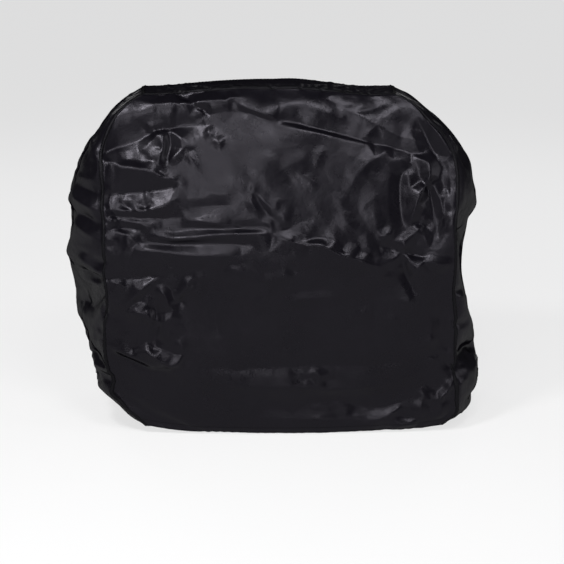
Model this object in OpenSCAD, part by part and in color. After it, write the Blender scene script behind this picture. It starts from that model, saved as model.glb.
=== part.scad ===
// Fitted rain cover for a cart-mounted gas grill, shown in its worn shape.
// Five sewn vinyl panels, taped seams, turned hems, and a cinch strap with a
// side-release buckle on each side. Millimetres, +Z up, front towards -Y.
// The origin is the centre of the inside face of the top panel, where the
// cover rests on the grill's hood.

/* [Cover] */
// Overall width across the side panels
cover_w = 1076; // [980:4:1170]
// Height from the hem to the top
cover_h = 874; // [800:2:950]
// Depth from front hem to back hem
cover_d = 504; // [460:2:550]
// Thickness of each sheet
sheet_t = 2.5; // [2:0.1:3]

/* [Seams and hems] */
// Width of the tape over the front and back seams
tape_w = 11; // [8:1:16]
// Thickness of the seam tape
tape_t = 1.2; // [0.8:0.1:1.6]
// Thickness of the turned hem
hem_t = 1.5; // [1:0.1:2]

/* [Cinch straps] */
// Width of the strap webbing
web_w = 25; // [24:0.5:25.5]
// Thickness of the strap webbing
web_t = 1.4; // [1:0.1:1.4]
// Height of the straps above the hem
strap_up = 120; // [105:1:135]
// Position of the buckle mouth along the depth, from the centre
mouth_y = -30; // [-34:1:-10]

/* [Buckle] */
// Outside height of the buckle
buckle_w = 36; // [34:1:40]
// Thickness of the buckle
buckle_t = 11; // [10.8:0.1:12]
// Half height of the socket's channel
channel = 14.6; // [14.4:0.1:14.8]

/* [Hidden] */
$fn = 48;

sx = cover_w / 1076;
sy = cover_d / 504;
sz = cover_h / 874;
top_z = sheet_t;                 // outside of the top, so that the inside is at 0
strap_z = -cover_h + strap_up + top_z;
land = 34;                       // half height of the flat land under each strap
strap_left = -455 * sx;          // outside of the left side panel under its strap
strap_right = 533 * sx;          // outside of the right side panel under its strap
gap = 0.8;                       // clearance between neighbouring sheets

// Outline seen from the front, at mid depth: [x, z, how far the seams sit inside it]
// Each side runs from the hem up to the shoulder.
left_low = [[-394, -868, 62], [-420, -826, 46]];
left_up = [[-486, -682, 56], [-502, -628, 72], [-515, -560, 88], [-530, -480, 100], [-534, -440, 102],
    [-526, -370, 100], [-525, -290, 94], [-508, -222, 74], [-470, -155, 46], [-425, -92, 24], [-384, -46, 12], [-330, -14, 6]];
right_low = [[515, -868, 78], [530, -822, 62]];
right_up = [[530, -682, 64], [520, -620, 56], [510, -550, 46], [504, -470, 40], [514, -390, 50],
    [530, -320, 64], [529, -260, 60], [508, -195, 46], [466, -130, 28], [404, -76, 16], [358, -38, 10], [312, -14, 6]];
top_line = [[-330, -14], [-275, -9], [-220, -5], [-165, -1], [-110, 2.5], [-95, 2.5], [70, 2.5], [85, 2.5], [130, 0.5], [175, -5], [222, -9.5], [268, -13], [312, -14]];

// Depth of the front and back seams at each height
front_y = [[-880, -232], [-440, -228], [-330, -222], [-200, -192], [-120, -164], [-60, -136], [-14, -106], [10, -100]];
back_y = [[-880, 240], [-440, 238], [-330, 230], [-200, 200], [-120, 170], [-60, 140], [-14, 108], [10, 104]];

function lerp(a, b, k) = a + (b - a) * k;
function unit(v) = v / max(norm(v), 1e-9);

// Smooth curve through a list of points, with n steps for each span
function spline(p, n) = [for (i = [0:len(p) - 2]) for (k = [0:n - 1])
        let (a = p[max(i - 1, 0)], b = p[i], c = p[i + 1], d = p[min(i + 2, len(p) - 1)], t = k / n)
        0.5 * ((2 * b) + (c - a) * t + (2 * a - 5 * b + 4 * c - d) * t * t + (3 * b - a - 3 * c + d) * t * t * t)];

// Scale an outline point, keeping its inset
function sized(p) = [p[0] * sx, p[1] * sz + (top_z - 2.5), p[2] * sx];

// The side outlines: a smooth lower part, a flat land under the strap, and a smooth upper part
function side(low, up, x, inset) = concat(
    [for (p = spline(concat(low, [[x / sx, (strap_z - land) / sz, inset]]), 2)) sized(p)],
    [[x, strap_z - land, inset * sx], [x, strap_z, inset * sx], [x, strap_z + land, inset * sx]],
    [for (p = spline(up, 2)) sized(p)]);

// The last point is drawn back from the shoulder, so that the side and top sheets stay apart
left_line = concat(side(left_low, left_up, strap_left, 42), [sized([-333, -16, 6])]);
right_line = concat(side(right_low, right_up, strap_right, 64), [sized([315.5, -16.5, 6])]);
rows = len(left_line) - 1;
crown = [for (i = [0:12]) let (p = top_line[i]) [(i == 0 ? p[0] + 3.5 : i == 12 ? p[0] - 3.5 : p[0]) * sx, p[1] * sz + (top_z - 2.5 * sz)]];

// Stations across a strip of the given span, from the front seam to the back seam.
// The wide middle span keeps the inside of the top truly flat where it rests on the hood.
function stations(span) = concat([0, tape_w / span, (tape_w + 3) / span], [0.12, 0.19, 0.25, 0.34, 0.66, 0.75, 0.81, 0.88],
    [1 - (tape_w + 3) / span, 1 - tape_w / span, 1]);
cols = 13;
// A sheet is flat across the middle and rolls in to its two seams
function roll(v) = pow(max(0, (abs(2 * v - 1) - 0.62) / 0.38), 2);
function fy(z) = lookup((z - (top_z - 2.5)) / sz, front_y) * sy;
function by(z) = lookup((z - (top_z - 2.5)) / sz, back_y) * sy;

// Grids of points, [row][column], on the outside of each sheet
function side_grid(line, s) = [for (p = line) let (f = fy(p[1]), b = by(p[1]), st = stations(b - f), k = max(0, min(1, 1 + (p[1] + 16) / 60)))
        [for (v = st) [p[0] - s * p[2] * roll(v), lerp(f, b, v), p[1] - 7 * k * roll(v)]]];
left_grid = side_grid(left_line, -1);
right_grid = side_grid(right_line, 1);
top_grid = [for (p = crown) let (f = -106 * sy, b = 108 * sy, st = stations(b - f))
        [for (v = st) [p[0], lerp(f, b, v), p[1] - 9 * roll(v)]]];

// Normal of a grid at a point, by differences
function normal(g, i, j) = let (n = len(g) - 1, m = len(g[0]) - 1,
        a = g[min(i + 1, n)][j] - g[max(i - 1, 0)][j], b = g[i][min(j + 1, m)] - g[i][max(j - 1, 0)])
    unit(cross(a, b));

// A grid point moved outwards by o, where s says which way the grid's normals point
function off(g, s, i, j, o) = g[i][j] + s * o * normal(g, i, j);

// Edges of the front and back sheets, tucked in under the strip by a clearance
edge = sheet_t + gap;
function face_grid(k) = let (
        l = [for (i = [0:rows]) off(left_grid, 1, i, k, -edge)],
        r = [for (i = [0:rows]) off(right_grid, -1, i, k, -edge)],
        lt = lerp(l[rows], off(top_grid, 1, 0, k, -edge), 0.5) + [1.5, 0, -2.4],
        rt = lerp(r[rows], off(top_grid, 1, 12, k, -edge), 0.5) + [-1.5, 0, -2.4],
        t = concat([lt], [for (i = [1:11]) off(top_grid, 1, i, k, -edge)], [rt]),
        bulge = (k == 0 ? -22 : 16) * sy)
    [for (j = [0:rows]) let (w = j / rows, a = j == rows ? lt : l[j], b = j == rows ? rt : r[j])
        [for (i = [0:12]) let (u = i / 12,
                low = lerp(l[0], r[0], u) + [0, 0, -9 * sin(180 * u) * sz],
                flat = lerp(a, b, u) + lerp(low, t[i], w) - lerp(lerp(l[0], r[0], u), lerp(lt, rt, u), w))
            flat + [0, bulge * sin(180 * u) * (1 - pow(w, 5)), 0]]];
front_grid = face_grid(0);
back_grid = face_grid(cols);

// A closed shell between two grids of points, over to outwards of under. From row turn on, its squares are split the other way.
module shell(over, under, right_handed, turn = 1000) {
    n = len(over);
    m = len(over[0]);
    pts = [for (g = [over, under]) for (r = g) for (p = r) p];
    q = n * m;
    function tri(a, b, c, d, flip, other) = other
        ? (flip ? [[a, b, d], [b, c, d]] : [[a, d, b], [b, d, c]])
        : (flip ? [[a, b, c], [a, c, d]] : [[a, c, b], [a, d, c]]);
    up = right_handed;
    faces = concat(
        [for (i = [0:n - 2]) for (j = [0:m - 2]) for (f = tri(i * m + j, i * m + j + 1, (i + 1) * m + j + 1, (i + 1) * m + j, up, i >= turn)) f],
        [for (i = [0:n - 2]) for (j = [0:m - 2]) for (f = tri(q + i * m + j, q + i * m + j + 1, q + (i + 1) * m + j + 1, q + (i + 1) * m + j, !up, i >= turn)) f],
        [for (j = [0:m - 2]) for (f = tri(j, j + 1, q + j + 1, q + j, !up, false)) f],
        [for (j = [0:m - 2]) let (k = (n - 1) * m) for (f = tri(k + j, k + j + 1, q + k + j + 1, q + k + j, up, false)) f],
        [for (i = [0:n - 2]) for (f = tri(i * m, (i + 1) * m, q + (i + 1) * m, q + i * m, up, false)) f],
        [for (i = [0:n - 2]) let (k = m - 1) for (f = tri(i * m + k, (i + 1) * m + k, q + (i + 1) * m + k, q + i * m + k, !up, false)) f]);
    polyhedron(points = pts, faces = faces);
}

// A sheet over rows r0 to r1 and columns c0 to c1 of a grid, between offsets lo and hi from its outside
function layer(g, s, o, r0, r1, c0, c1) = [for (i = [r0:r1]) [for (j = [c0:c1]) off(g, s, i, j, o)]];
module sheet(g, s, lo, hi, r0, r1, c0, c1) {
    shell(layer(g, s, hi, r0, r1, c0, c1), layer(g, s, lo, r0, r1, c0, c1), s > 0);
}

vinyl = [0.07, 0.07, 0.08];
web = [0.04, 0.04, 0.045];
plastic = [0.03, 0.03, 0.03];

module front_panel() { color(vinyl) sheet(front_grid, -1, -sheet_t, 0, 0, rows, 0, 12); }
module back_panel() { color(vinyl) sheet(back_grid, 1, -sheet_t, 0, 0, rows, 0, 12); }
module top_panel() { color(vinyl) sheet(top_grid, 1, -sheet_t, 0, 0, 12, 0, cols); }
module left_side_panel() { color(vinyl) sheet(left_grid, 1, -sheet_t, 0, 0, rows, 0, cols); }
module right_side_panel() { color(vinyl) sheet(right_grid, -1, -sheet_t, 0, 0, rows, 0, cols); }

// One long strip of tape that follows a seam up one side, over the top and down the other side
tape_off = 0.8;
function tape(a, b, o) = concat(layer(left_grid, 1, o, 0, rows, a, b), layer(top_grid, 1, o, 0, 12, a, b),
    [for (i = [rows:-1:0]) [for (j = [a:b]) off(right_grid, -1, i, j, o)]]);
module seam_tape(a, b) { shell(tape(a, b, tape_off + tape_t), tape(a, b, tape_off), true, rows + 13); }
module front_seam_tape() { color(vinyl) seam_tape(0, 1); }
module back_seam_tape() { color(vinyl) seam_tape(cols - 1, cols); }

// Tape over the seam between a side panel and the top panel, reaching part of a row onto each
function mid(a, b, k) = [for (j = [0:len(a) - 1]) lerp(a[j], b[j], k)];
function shoulder(g, s, i, t, o) = let (l = layer(g, s, o, rows - 1, rows, 2, cols - 2), u = layer(top_grid, 1, o, 0, 12, 2, cols - 2),
        e = u[i], f = u[i == 0 ? 1 : 11], r = [mid(l[1], l[0], t), l[1], e, mid(e, f, 0.3)])
    s > 0 ? r : [r[3], r[2], r[1], r[0]];
module left_shoulder_tape() { color(vinyl) shell(shoulder(left_grid, 1, 0, 0.45, tape_off + tape_t), shoulder(left_grid, 1, 0, 0.45, tape_off), true); }
module right_shoulder_tape() { color(vinyl) shell(shoulder(right_grid, -1, 12, 0.45, tape_off + tape_t), shoulder(right_grid, -1, 12, 0.45, tape_off), true); }

// Hems: a second layer turned up inside each panel's lower edge
hem_in = sheet_t + 0.5;
module front_hem() { color(vinyl) sheet(front_grid, -1, -hem_in - hem_t, -hem_in, 0, 1, 1, 11); }
module back_hem() { color(vinyl) sheet(back_grid, 1, -hem_in - hem_t, -hem_in, 0, 1, 1, 11); }
module left_hem() { color(vinyl) sheet(left_grid, 1, -hem_in - hem_t, -hem_in, 0, 1, 2, cols - 2); }
module right_hem() { color(vinyl) sheet(right_grid, -1, -hem_in - hem_t, -hem_in, 0, 1, 2, cols - 2); }

// ---- Strap hardware, in a local frame: X away from the panel, Y along the strap, Z up, panel at X = 0 ----
lift = 0.4;
half = web_w / 2;

// Places local hardware on the left or right side panel
module on_left() { translate([strap_left, 0, strap_z]) mirror([1, 0, 0]) children(); }
module on_right() { translate([strap_right, 0, strap_z]) children(); }

// Block with rounded corners in the Y-Z plane, X from h0 to h1
module slab(y0, y1, z0, z1, h0, h1, r) {
    translate([h0, 0, 0]) rotate([90, 0, 90]) linear_extrude(h1 - h0) union() {
        translate([y0 + r, z0]) square([y1 - y0 - 2 * r, z1 - z0]);
        translate([y0, z0 + r]) square([y1 - y0, z1 - z0 - 2 * r]);
        for (y = [y0 + r, y1 - r]) for (z = [z0 + r, z1 - r]) translate([y, z]) circle(r);
    }
}
module block(y0, y1, z0, z1, h0, h1) { translate([h0, y0, z0]) cube([h1 - h0, y1 - y0, z1 - z0]); }

// Outline of a ribbon of thickness t that follows a line of [y, x] points
function ribbon(p, t) = let (n = len(p) - 1,
        d = [for (i = [0:n]) unit(unit(p[i] - p[max(i - 1, 0)]) + unit(p[min(i + 1, n)] - p[i]))],
        k = [for (i = [0:n]) let (s = unit(p[min(i + 1, n)] - p[min(i, n - 1)])) 1 / max(0.5, abs(d[i] * (i == n ? d[i] : s)))],
        a = [for (i = [0:n]) p[i] + [-d[i][1], d[i][0]] * t / 2 * k[i]],
        b = [for (i = [n:-1:0]) p[i] - [-d[i][1], d[i][0]] * t / 2 * k[i]]) concat(a, b);
module webbing(p) { color(web) translate([0, 0, -half]) linear_extrude(web_w) polygon([for (q = ribbon(p, web_t)) [q[1], q[0]]]); }

// Patch sewn over the end of a strap
module patch(y0, y1) {
    color(vinyl) difference() {
        slab(y0, y1, -24, 24, 0.3, 3.4, 4);
        block(y0 - 1, y1 + 1, -half - 0.4, half + 0.4, 0, 2.1);
    }
}

m = mouth_y;
bt = buckle_t + lift;
// Fixed strap: sewn under the front patch, looped round the socket's bar and sewn back
module front_strap() {
    webbing([[-141, 1.2], [-104, 1.2], [m - 54, 1.4], [m - 47, 2.3], [m - 38.2, 2.3], [m - 36.6, 3.2], [m - 36.2, 4.4], [m - 36.2, 7.6],
        [m - 36.6, 8.8], [m - 38.2, 9.7], [m - 43, 9.7], [m - 46.5, 8.2], [m - 51, 4.6], [m - 56, 3.1], [m - 68, 2.9]]);
}
// Adjustable strap: sewn under the rear patch, up through the plug's ladder and back over itself as a free tail
module rear_strap() {
    webbing([[141, 1.2], [104, 1.2], [92, 1.7], [m + 14, 1.7], [m + 12, 2.3], [m + 11.5, 3.4], [m + 11.5, 8.2], [m + 12, 9.2], [m + 13.2, 9.7],
        [m + 17.3, 9.7], [m + 18.5, 9.2], [m + 19, 8.2], [m + 19, 4.6], [m + 19.5, 3.7], [m + 20.8, 3.2], [m + 98, 3.2]]);
}
// Loop that holds the tail against the strap
module keeper() {
    y = m + 64;
    color(plastic) difference() {
        slab(y, y + 9, -half - 3, half + 3, 0.1, 5.2, 1.2);
        block(y - 1, y + 10, -half - 0.6, half + 0.6, 0.8, 4.3);
    }
}
// Socket: the half that takes the plug, with a window each side for the arms
module socket() {
    w = buckle_w / 2;
    color(plastic) difference() {
        union() {
            slab(m - 33, m, -w, w, lift, bt, 3);
            slab(m - 42, m - 30, -w + 2, w - 2, 3.4, 8.6, 3);
        }
        block(m - 29, m + 1, -channel, channel, 2.8, bt - 2.4);
        block(m - 23, m - 8, -w - 1, w + 1, 2.8, bt - 2.4);
        block(m - 38.4, m - 33.9, -half - 0.6, half + 0.6, 0, 12);
    }
}
// Plug: a ladder for the adjustable strap, a centre guide, and two round seats for the arms
pivot_y = 3.5;
pivot_z = channel - 3;
module plug() {
    w = buckle_w / 2 - 1;
    color(plastic) difference() {
        union() {
            slab(m + 0.6, m + 9, -w, w, lift + 0.4, bt - 0.4, 1.5);
            slab(m + 5, m + 25, -w, w, 4.2, 8.8, 3);
            block(m - 20, m + 2, -2.2, 2.2, 3.3, bt - 2.9);
            slab(m - 23, m - 18, -2.2, 2.2, 3.3, bt - 2.9, 2.1);
        }
        block(m + 9.6, m + 13.4, -half - 0.6, half + 0.6, 0, 12);
        block(m + 17.1, m + 20.9, -half - 0.6, half + 0.6, 0, 12);
        for (s = [-1, 1]) {
            translate([3.1, m + pivot_y, s * pivot_z]) rotate([0, 90, 0]) cylinder(h = bt - 2.7 - 3.1, r = 2.08);
            block(m - 1, m + pivot_y, s > 0 ? pivot_z - 2.9 : -pivot_z - 2, s > 0 ? pivot_z + 2 : -pivot_z + 2.9, 3.1, bt - 2.7);
        }
    }
}
// Sprung arm with its barb: s is 1 for the upper arm and -1 for the lower arm
module arm(s) {
    h0 = 3.3;
    h1 = bt - 2.9;
    color(plastic) union() {
        translate([h0, m + pivot_y, s * pivot_z]) rotate([0, 90, 0]) cylinder(h = h1 - h0, r = 2.0);
        translate([h0, 0, 0]) rotate([90, 0, 90]) linear_extrude(h1 - h0) polygon([for (p = [[pivot_y, -1.5], [-15, -1.5], [-20, -0.4], [-21.6, 0.8], [-21.2, 2],
                [-18.5, 3.5], [-15, 4.5], [-11.5, 4.9], [-8.8, 4.9], [-8.4, 4.5], [-8.4, 2], [pivot_y, 1.3]]) [m + p[0], s * (pivot_z + p[1])]]);
    }
}

module left_front_patch() { on_left() patch(-146, -102); }
module left_rear_patch() { on_left() patch(102, 146); }
module left_front_strap() { on_left() front_strap(); }
module left_rear_strap() { on_left() rear_strap(); }
module left_strap_keeper() { on_left() keeper(); }
module left_buckle_socket() { on_left() socket(); }
module left_buckle_plug() { on_left() plug(); }
module left_buckle_arm_upper() { on_left() arm(1); }
module left_buckle_arm_lower() { on_left() arm(-1); }
module right_front_patch() { on_right() patch(-146, -102); }
module right_rear_patch() { on_right() patch(102, 146); }
module right_front_strap() { on_right() front_strap(); }
module right_rear_strap() { on_right() rear_strap(); }
module right_strap_keeper() { on_right() keeper(); }
module right_buckle_socket() { on_right() socket(); }
module right_buckle_plug() { on_right() plug(); }
module right_buckle_arm_upper() { on_right() arm(1); }
module right_buckle_arm_lower() { on_right() arm(-1); }

front_panel();
back_panel();
top_panel();
left_side_panel();
right_side_panel();
front_seam_tape();
back_seam_tape();
left_shoulder_tape();
right_shoulder_tape();
front_hem();
back_hem();
left_hem();
right_hem();
left_front_patch();
left_rear_patch();
left_front_strap();
left_rear_strap();
left_strap_keeper();
left_buckle_socket();
left_buckle_plug();
left_buckle_arm_upper();
left_buckle_arm_lower();
right_front_patch();
right_rear_patch();
right_front_strap();
right_rear_strap();
right_strap_keeper();
right_buckle_socket();
right_buckle_plug();
right_buckle_arm_upper();
right_buckle_arm_lower();
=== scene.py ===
import bpy
import math
import numpy as np
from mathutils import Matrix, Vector
from mathutils.geometry import delaunay_2d_cdt


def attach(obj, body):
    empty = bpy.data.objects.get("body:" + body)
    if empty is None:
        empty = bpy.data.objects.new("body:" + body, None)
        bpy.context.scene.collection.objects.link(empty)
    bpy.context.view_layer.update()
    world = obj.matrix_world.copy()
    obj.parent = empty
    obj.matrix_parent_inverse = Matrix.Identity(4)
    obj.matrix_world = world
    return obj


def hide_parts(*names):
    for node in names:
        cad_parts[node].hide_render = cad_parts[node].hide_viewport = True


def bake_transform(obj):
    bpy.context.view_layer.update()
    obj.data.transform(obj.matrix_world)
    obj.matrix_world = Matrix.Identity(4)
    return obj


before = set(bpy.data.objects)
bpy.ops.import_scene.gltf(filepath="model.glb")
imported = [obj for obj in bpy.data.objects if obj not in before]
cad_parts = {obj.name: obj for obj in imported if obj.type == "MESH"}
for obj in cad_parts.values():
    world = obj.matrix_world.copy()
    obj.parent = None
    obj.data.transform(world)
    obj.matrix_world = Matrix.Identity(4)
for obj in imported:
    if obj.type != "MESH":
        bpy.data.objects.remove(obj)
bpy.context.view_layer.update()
D = bpy.data


# ---------------------------------------------------------------- the cover's outline, metres
# Each side from the hem up to the shoulder: x and z at mid depth, and how far the seams sit inside it
LEFT = [(-.388, -.868, .060), (-.412, -.829, .044), (-.436, -.790, .041), (-.455, -.772, .042), (-.455, -.734, .042), (-.471, -.712, .048), (-.490, -.674, .060),
        (-.505, -.630, .074), (-.516, -.586, .084), (-.517, -.545, .090), (-.523, -.502, .096), (-.535, -.456, .102), (-.531, -.413, .100), (-.527, -.370, .097),
        (-.526, -.328, .096), (-.526, -.288, .094), (-.514, -.243, .084), (-.498, -.201, .066), (-.473, -.159, .042), (-.444, -.118, .026), (-.414, -.077, .018),
        (-.392, -.055, .012), (-.363, -.034, .008), (-.330, -.014, .006)]
RIGHT = [(.514, -.868, .082), (.528, -.836, .062), (.529, -.796, .062), (.533, -.768, .064), (.533, -.734, .066), (.533, -.700, .066), (.528, -.672, .062), (.521, -.637, .056),
         (.515, -.593, .050), (.508, -.549, .046), (.502, -.506, .042), (.501, -.462, .038), (.506, -.419, .042), (.515, -.376, .050), (.525, -.333, .060),
         (.529, -.291, .062), (.523, -.248, .056), (.511, -.206, .046), (.487, -.163, .032), (.452, -.121, .022), (.408, -.082, .014), (.384, -.058, .012),
         (.355, -.037, .008), (.312, -.016, .006)]
TOP = [(-.330, -.014), (-.290, -.013), (-.249, -.010), (-.186, -.004), (-.102, .001), (-.019, .0025), (.065, .002), (.149, -.007), (.225, -.016), (.275, -.016), (.312, -.016)]
# Depth of the front and back seams at each height
FRONT_Y = [(-.90, -.230), (-.70, -.231), (-.56, -.232), (-.45, -.235), (-.40, -.236), (-.35, -.231), (-.27, -.213), (-.20, -.193), (-.12, -.164), (-.06, -.137), (-.014, -.107), (.02, -.104)]
BACK_Y = [(-.90, .238), (-.70, .238), (-.56, .238), (-.45, .237), (-.40, .235), (-.35, .230), (-.27, .216), (-.20, .198), (-.12, .170), (-.06, .141), (-.014, .109), (.02, .105)]

NX, NZ, NY = 72, 64, 34        # cells of the coarse net: across the front, up the sides, through the depth
FINE = 4                       # fine cells for each coarse one


def cr(p, n):
    """Smooth curve through the rows of p, with n steps a span."""
    p = np.asarray(p, float)
    q = np.vstack([2 * p[0] - p[1], p, 2 * p[-1] - p[-2]])
    t = (np.arange(n) / n)[:, None]
    out = []
    for i in range(1, len(q) - 2):
        a, b, c, d = q[i - 1], q[i], q[i + 1], q[i + 2]
        out.append(.5 * (2 * b + (c - a) * t + (2 * a - 5 * b + 4 * c - d) * t ** 2 + (3 * b - a - 3 * c + d) * t ** 3))
    return np.vstack(out + [p[-1:]])


def even(p, n, dims=2):
    """A curve resampled to n even steps along its length."""
    s = cr(p, 24)
    d = np.r_[0, np.cumsum(np.linalg.norm(np.diff(s[:, :dims], axis=0), axis=1))]
    t = np.linspace(0, d[-1], n + 1)
    return np.stack([np.interp(t, d, s[:, k]) for k in range(s.shape[1])], 1)


def profile(table):
    z = np.linspace(-.92, .03, 400)
    y = np.interp(z, [a for a, b in table], [b for a, b in table])
    k = np.hanning(23)
    k /= k.sum()
    y = np.convolve(np.pad(y, 11, mode="edge"), k, "valid")
    return lambda v: np.interp(v, z, y)


front_y, back_y = profile(FRONT_Y), profile(BACK_Y)


def smooth01(t):
    t = np.clip(t, 0, 1)
    return t * t * (3 - 2 * t)


def base_nets(nx, nz, ny):
    """The cover's smooth shape: the front net, the back net, and the strip net that runs up the left side, over the top and down the right."""
    left, right, top = even(LEFT, nz), even(RIGHT, nz), even(TOP, nx)
    line = np.vstack([left[:, :2], top[1:-1], right[::-1][:, :2]])
    inset = np.r_[left[:, 2], np.full(nx - 1, 0.), right[::-1][:, 2]]
    side = np.r_[np.full(nz + 1, -1.), np.zeros(nx - 1), np.full(nz + 1, 1.)]
    v = np.linspace(0, 1, ny + 1)
    roll = np.clip((np.abs(2 * v - 1) - .62) / .38, 0, None) ** 2
    soft = np.abs(2 * v - 1) ** 3.2
    strap = np.exp(-((line[:, 1] + .7515) / .05) ** 4)          # flat land under the straps
    strip = np.zeros((len(line), ny + 1, 3))
    f, b = front_y(line[:, 1]), back_y(line[:, 1])
    is_top = side == 0
    f[is_top], b[is_top] = front_y(-.014), back_y(-.014)
    for i in range(len(line)):
        r = roll * strap[i] + soft * (1 - strap[i]) if side[i] else soft
        near = 1. if side[i] == 0 else np.clip(1 + (line[i, 1] + .016) / .06, 0, 1)
        strip[i, :, 0] = line[i, 0] - side[i] * inset[i] * r
        strip[i, :, 1] = f[i] + (b[i] - f[i]) * v
        back_drop = .027 * np.clip((v - .35) / .65, 0, 1) ** 1.7
        wide = 1. if side[i] == 0 else np.clip(1 + (line[i, 1] + .016) / .22, 0, 1) ** 1.5
        strip[i, :, 2] = line[i, 1] - .008 * near * soft - back_drop * wide
    nets = []
    for j, bulge in ((0, -.016), (ny, .014)):
        lo, hi = strip[:nz + 1, j], strip[::-1][:nz + 1, j]
        t = strip[nz:nz + nx + 1, j]
        u = np.linspace(0, 1, nx + 1)
        w = np.linspace(0, 1, nz + 1)
        s = np.sin(np.pi * u)
        low = lo[0] + (hi[0] - lo[0]) * u[:, None]
        low = low + np.stack([0 * s, 0 * s, -.010 * s ** .8], 1)
        net = np.zeros((nz + 1, nx + 1, 3))
        for k in range(nz + 1):
            sides = lo[k] + (hi[k] - lo[k]) * u[:, None]
            caps = low + (t - low) * w[k]
            both = (lo[0] + (hi[0] - lo[0]) * u[:, None]) * (1 - w[k]) + (lo[nz] + (hi[nz] - lo[nz]) * u[:, None]) * w[k]
            net[k] = sides + caps - both
            net[k, :, 1] += bulge * s ** .8 * (1 - w[k] ** 4)
        nets.append(net)
    return nets[0], nets[1], strip


def lift_corners(p):
    """The hem rises a little towards the front corners."""
    x, y, z = p[..., 0], p[..., 1], p[..., 2]
    up = .015 * np.exp(-((x + .38) / .085) ** 2) + .012 * np.exp(-((x - .49) / .07) ** 2)
    p[..., 2] = z + up * smooth01((-.785 - z) / .085) * smooth01((.10 - y) / .25)
    return p


def net_ids(nx, nz, ny):
    """Vertex numbers of the three nets, with the seams shared."""
    k = 2 * nz + nx
    strip = np.arange((k + 1) * (ny + 1)).reshape(k + 1, ny + 1)
    n = strip.size
    out = []
    for j in (0, ny):
        g = np.full((nz + 1, nx + 1), -1)
        g[:, 0] = strip[:nz + 1, j]
        g[:, nx] = strip[::-1][:nz + 1, j]
        g[nz, :] = strip[nz:nz + nx + 1, j]
        inner = g < 0
        g[inner] = n + np.arange(inner.sum())
        n += inner.sum()
        out.append(g)
    return out[0], out[1], strip, n


def quads(g, flip):
    a, b, c, d = g[:-1, :-1].ravel(), g[:-1, 1:].ravel(), g[1:, 1:].ravel(), g[1:, :-1].ravel()
    return np.stack([a, d, c, b] if flip else [a, b, c, d], 1)


def all_quads(f, b, s):
    return np.vstack([quads(f, False), quads(b, True), quads(s, True)])


def weld(ids, nets, n):
    co = np.zeros((n, 3))
    for g, p in zip(ids, nets):
        co[g.ravel()] = p.reshape(-1, 3)
    return co


def normals(co, q):
    n = np.cross(co[q[:, 2]] - co[q[:, 0]], co[q[:, 3]] - co[q[:, 1]])
    out = np.zeros_like(co)
    for k in range(4):
        np.add.at(out, q[:, k], n)
    return out / np.maximum(np.linalg.norm(out, axis=1, keepdims=True), 1e-12)


def finer(net, n):
    """A net with n cells for each of its own, on a smooth surface through its points."""
    a = np.stack([cr(r, n) for r in net])
    return np.stack([cr(c, n) for c in a.transpose(1, 0, 2)]).transpose(1, 0, 2)


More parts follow.
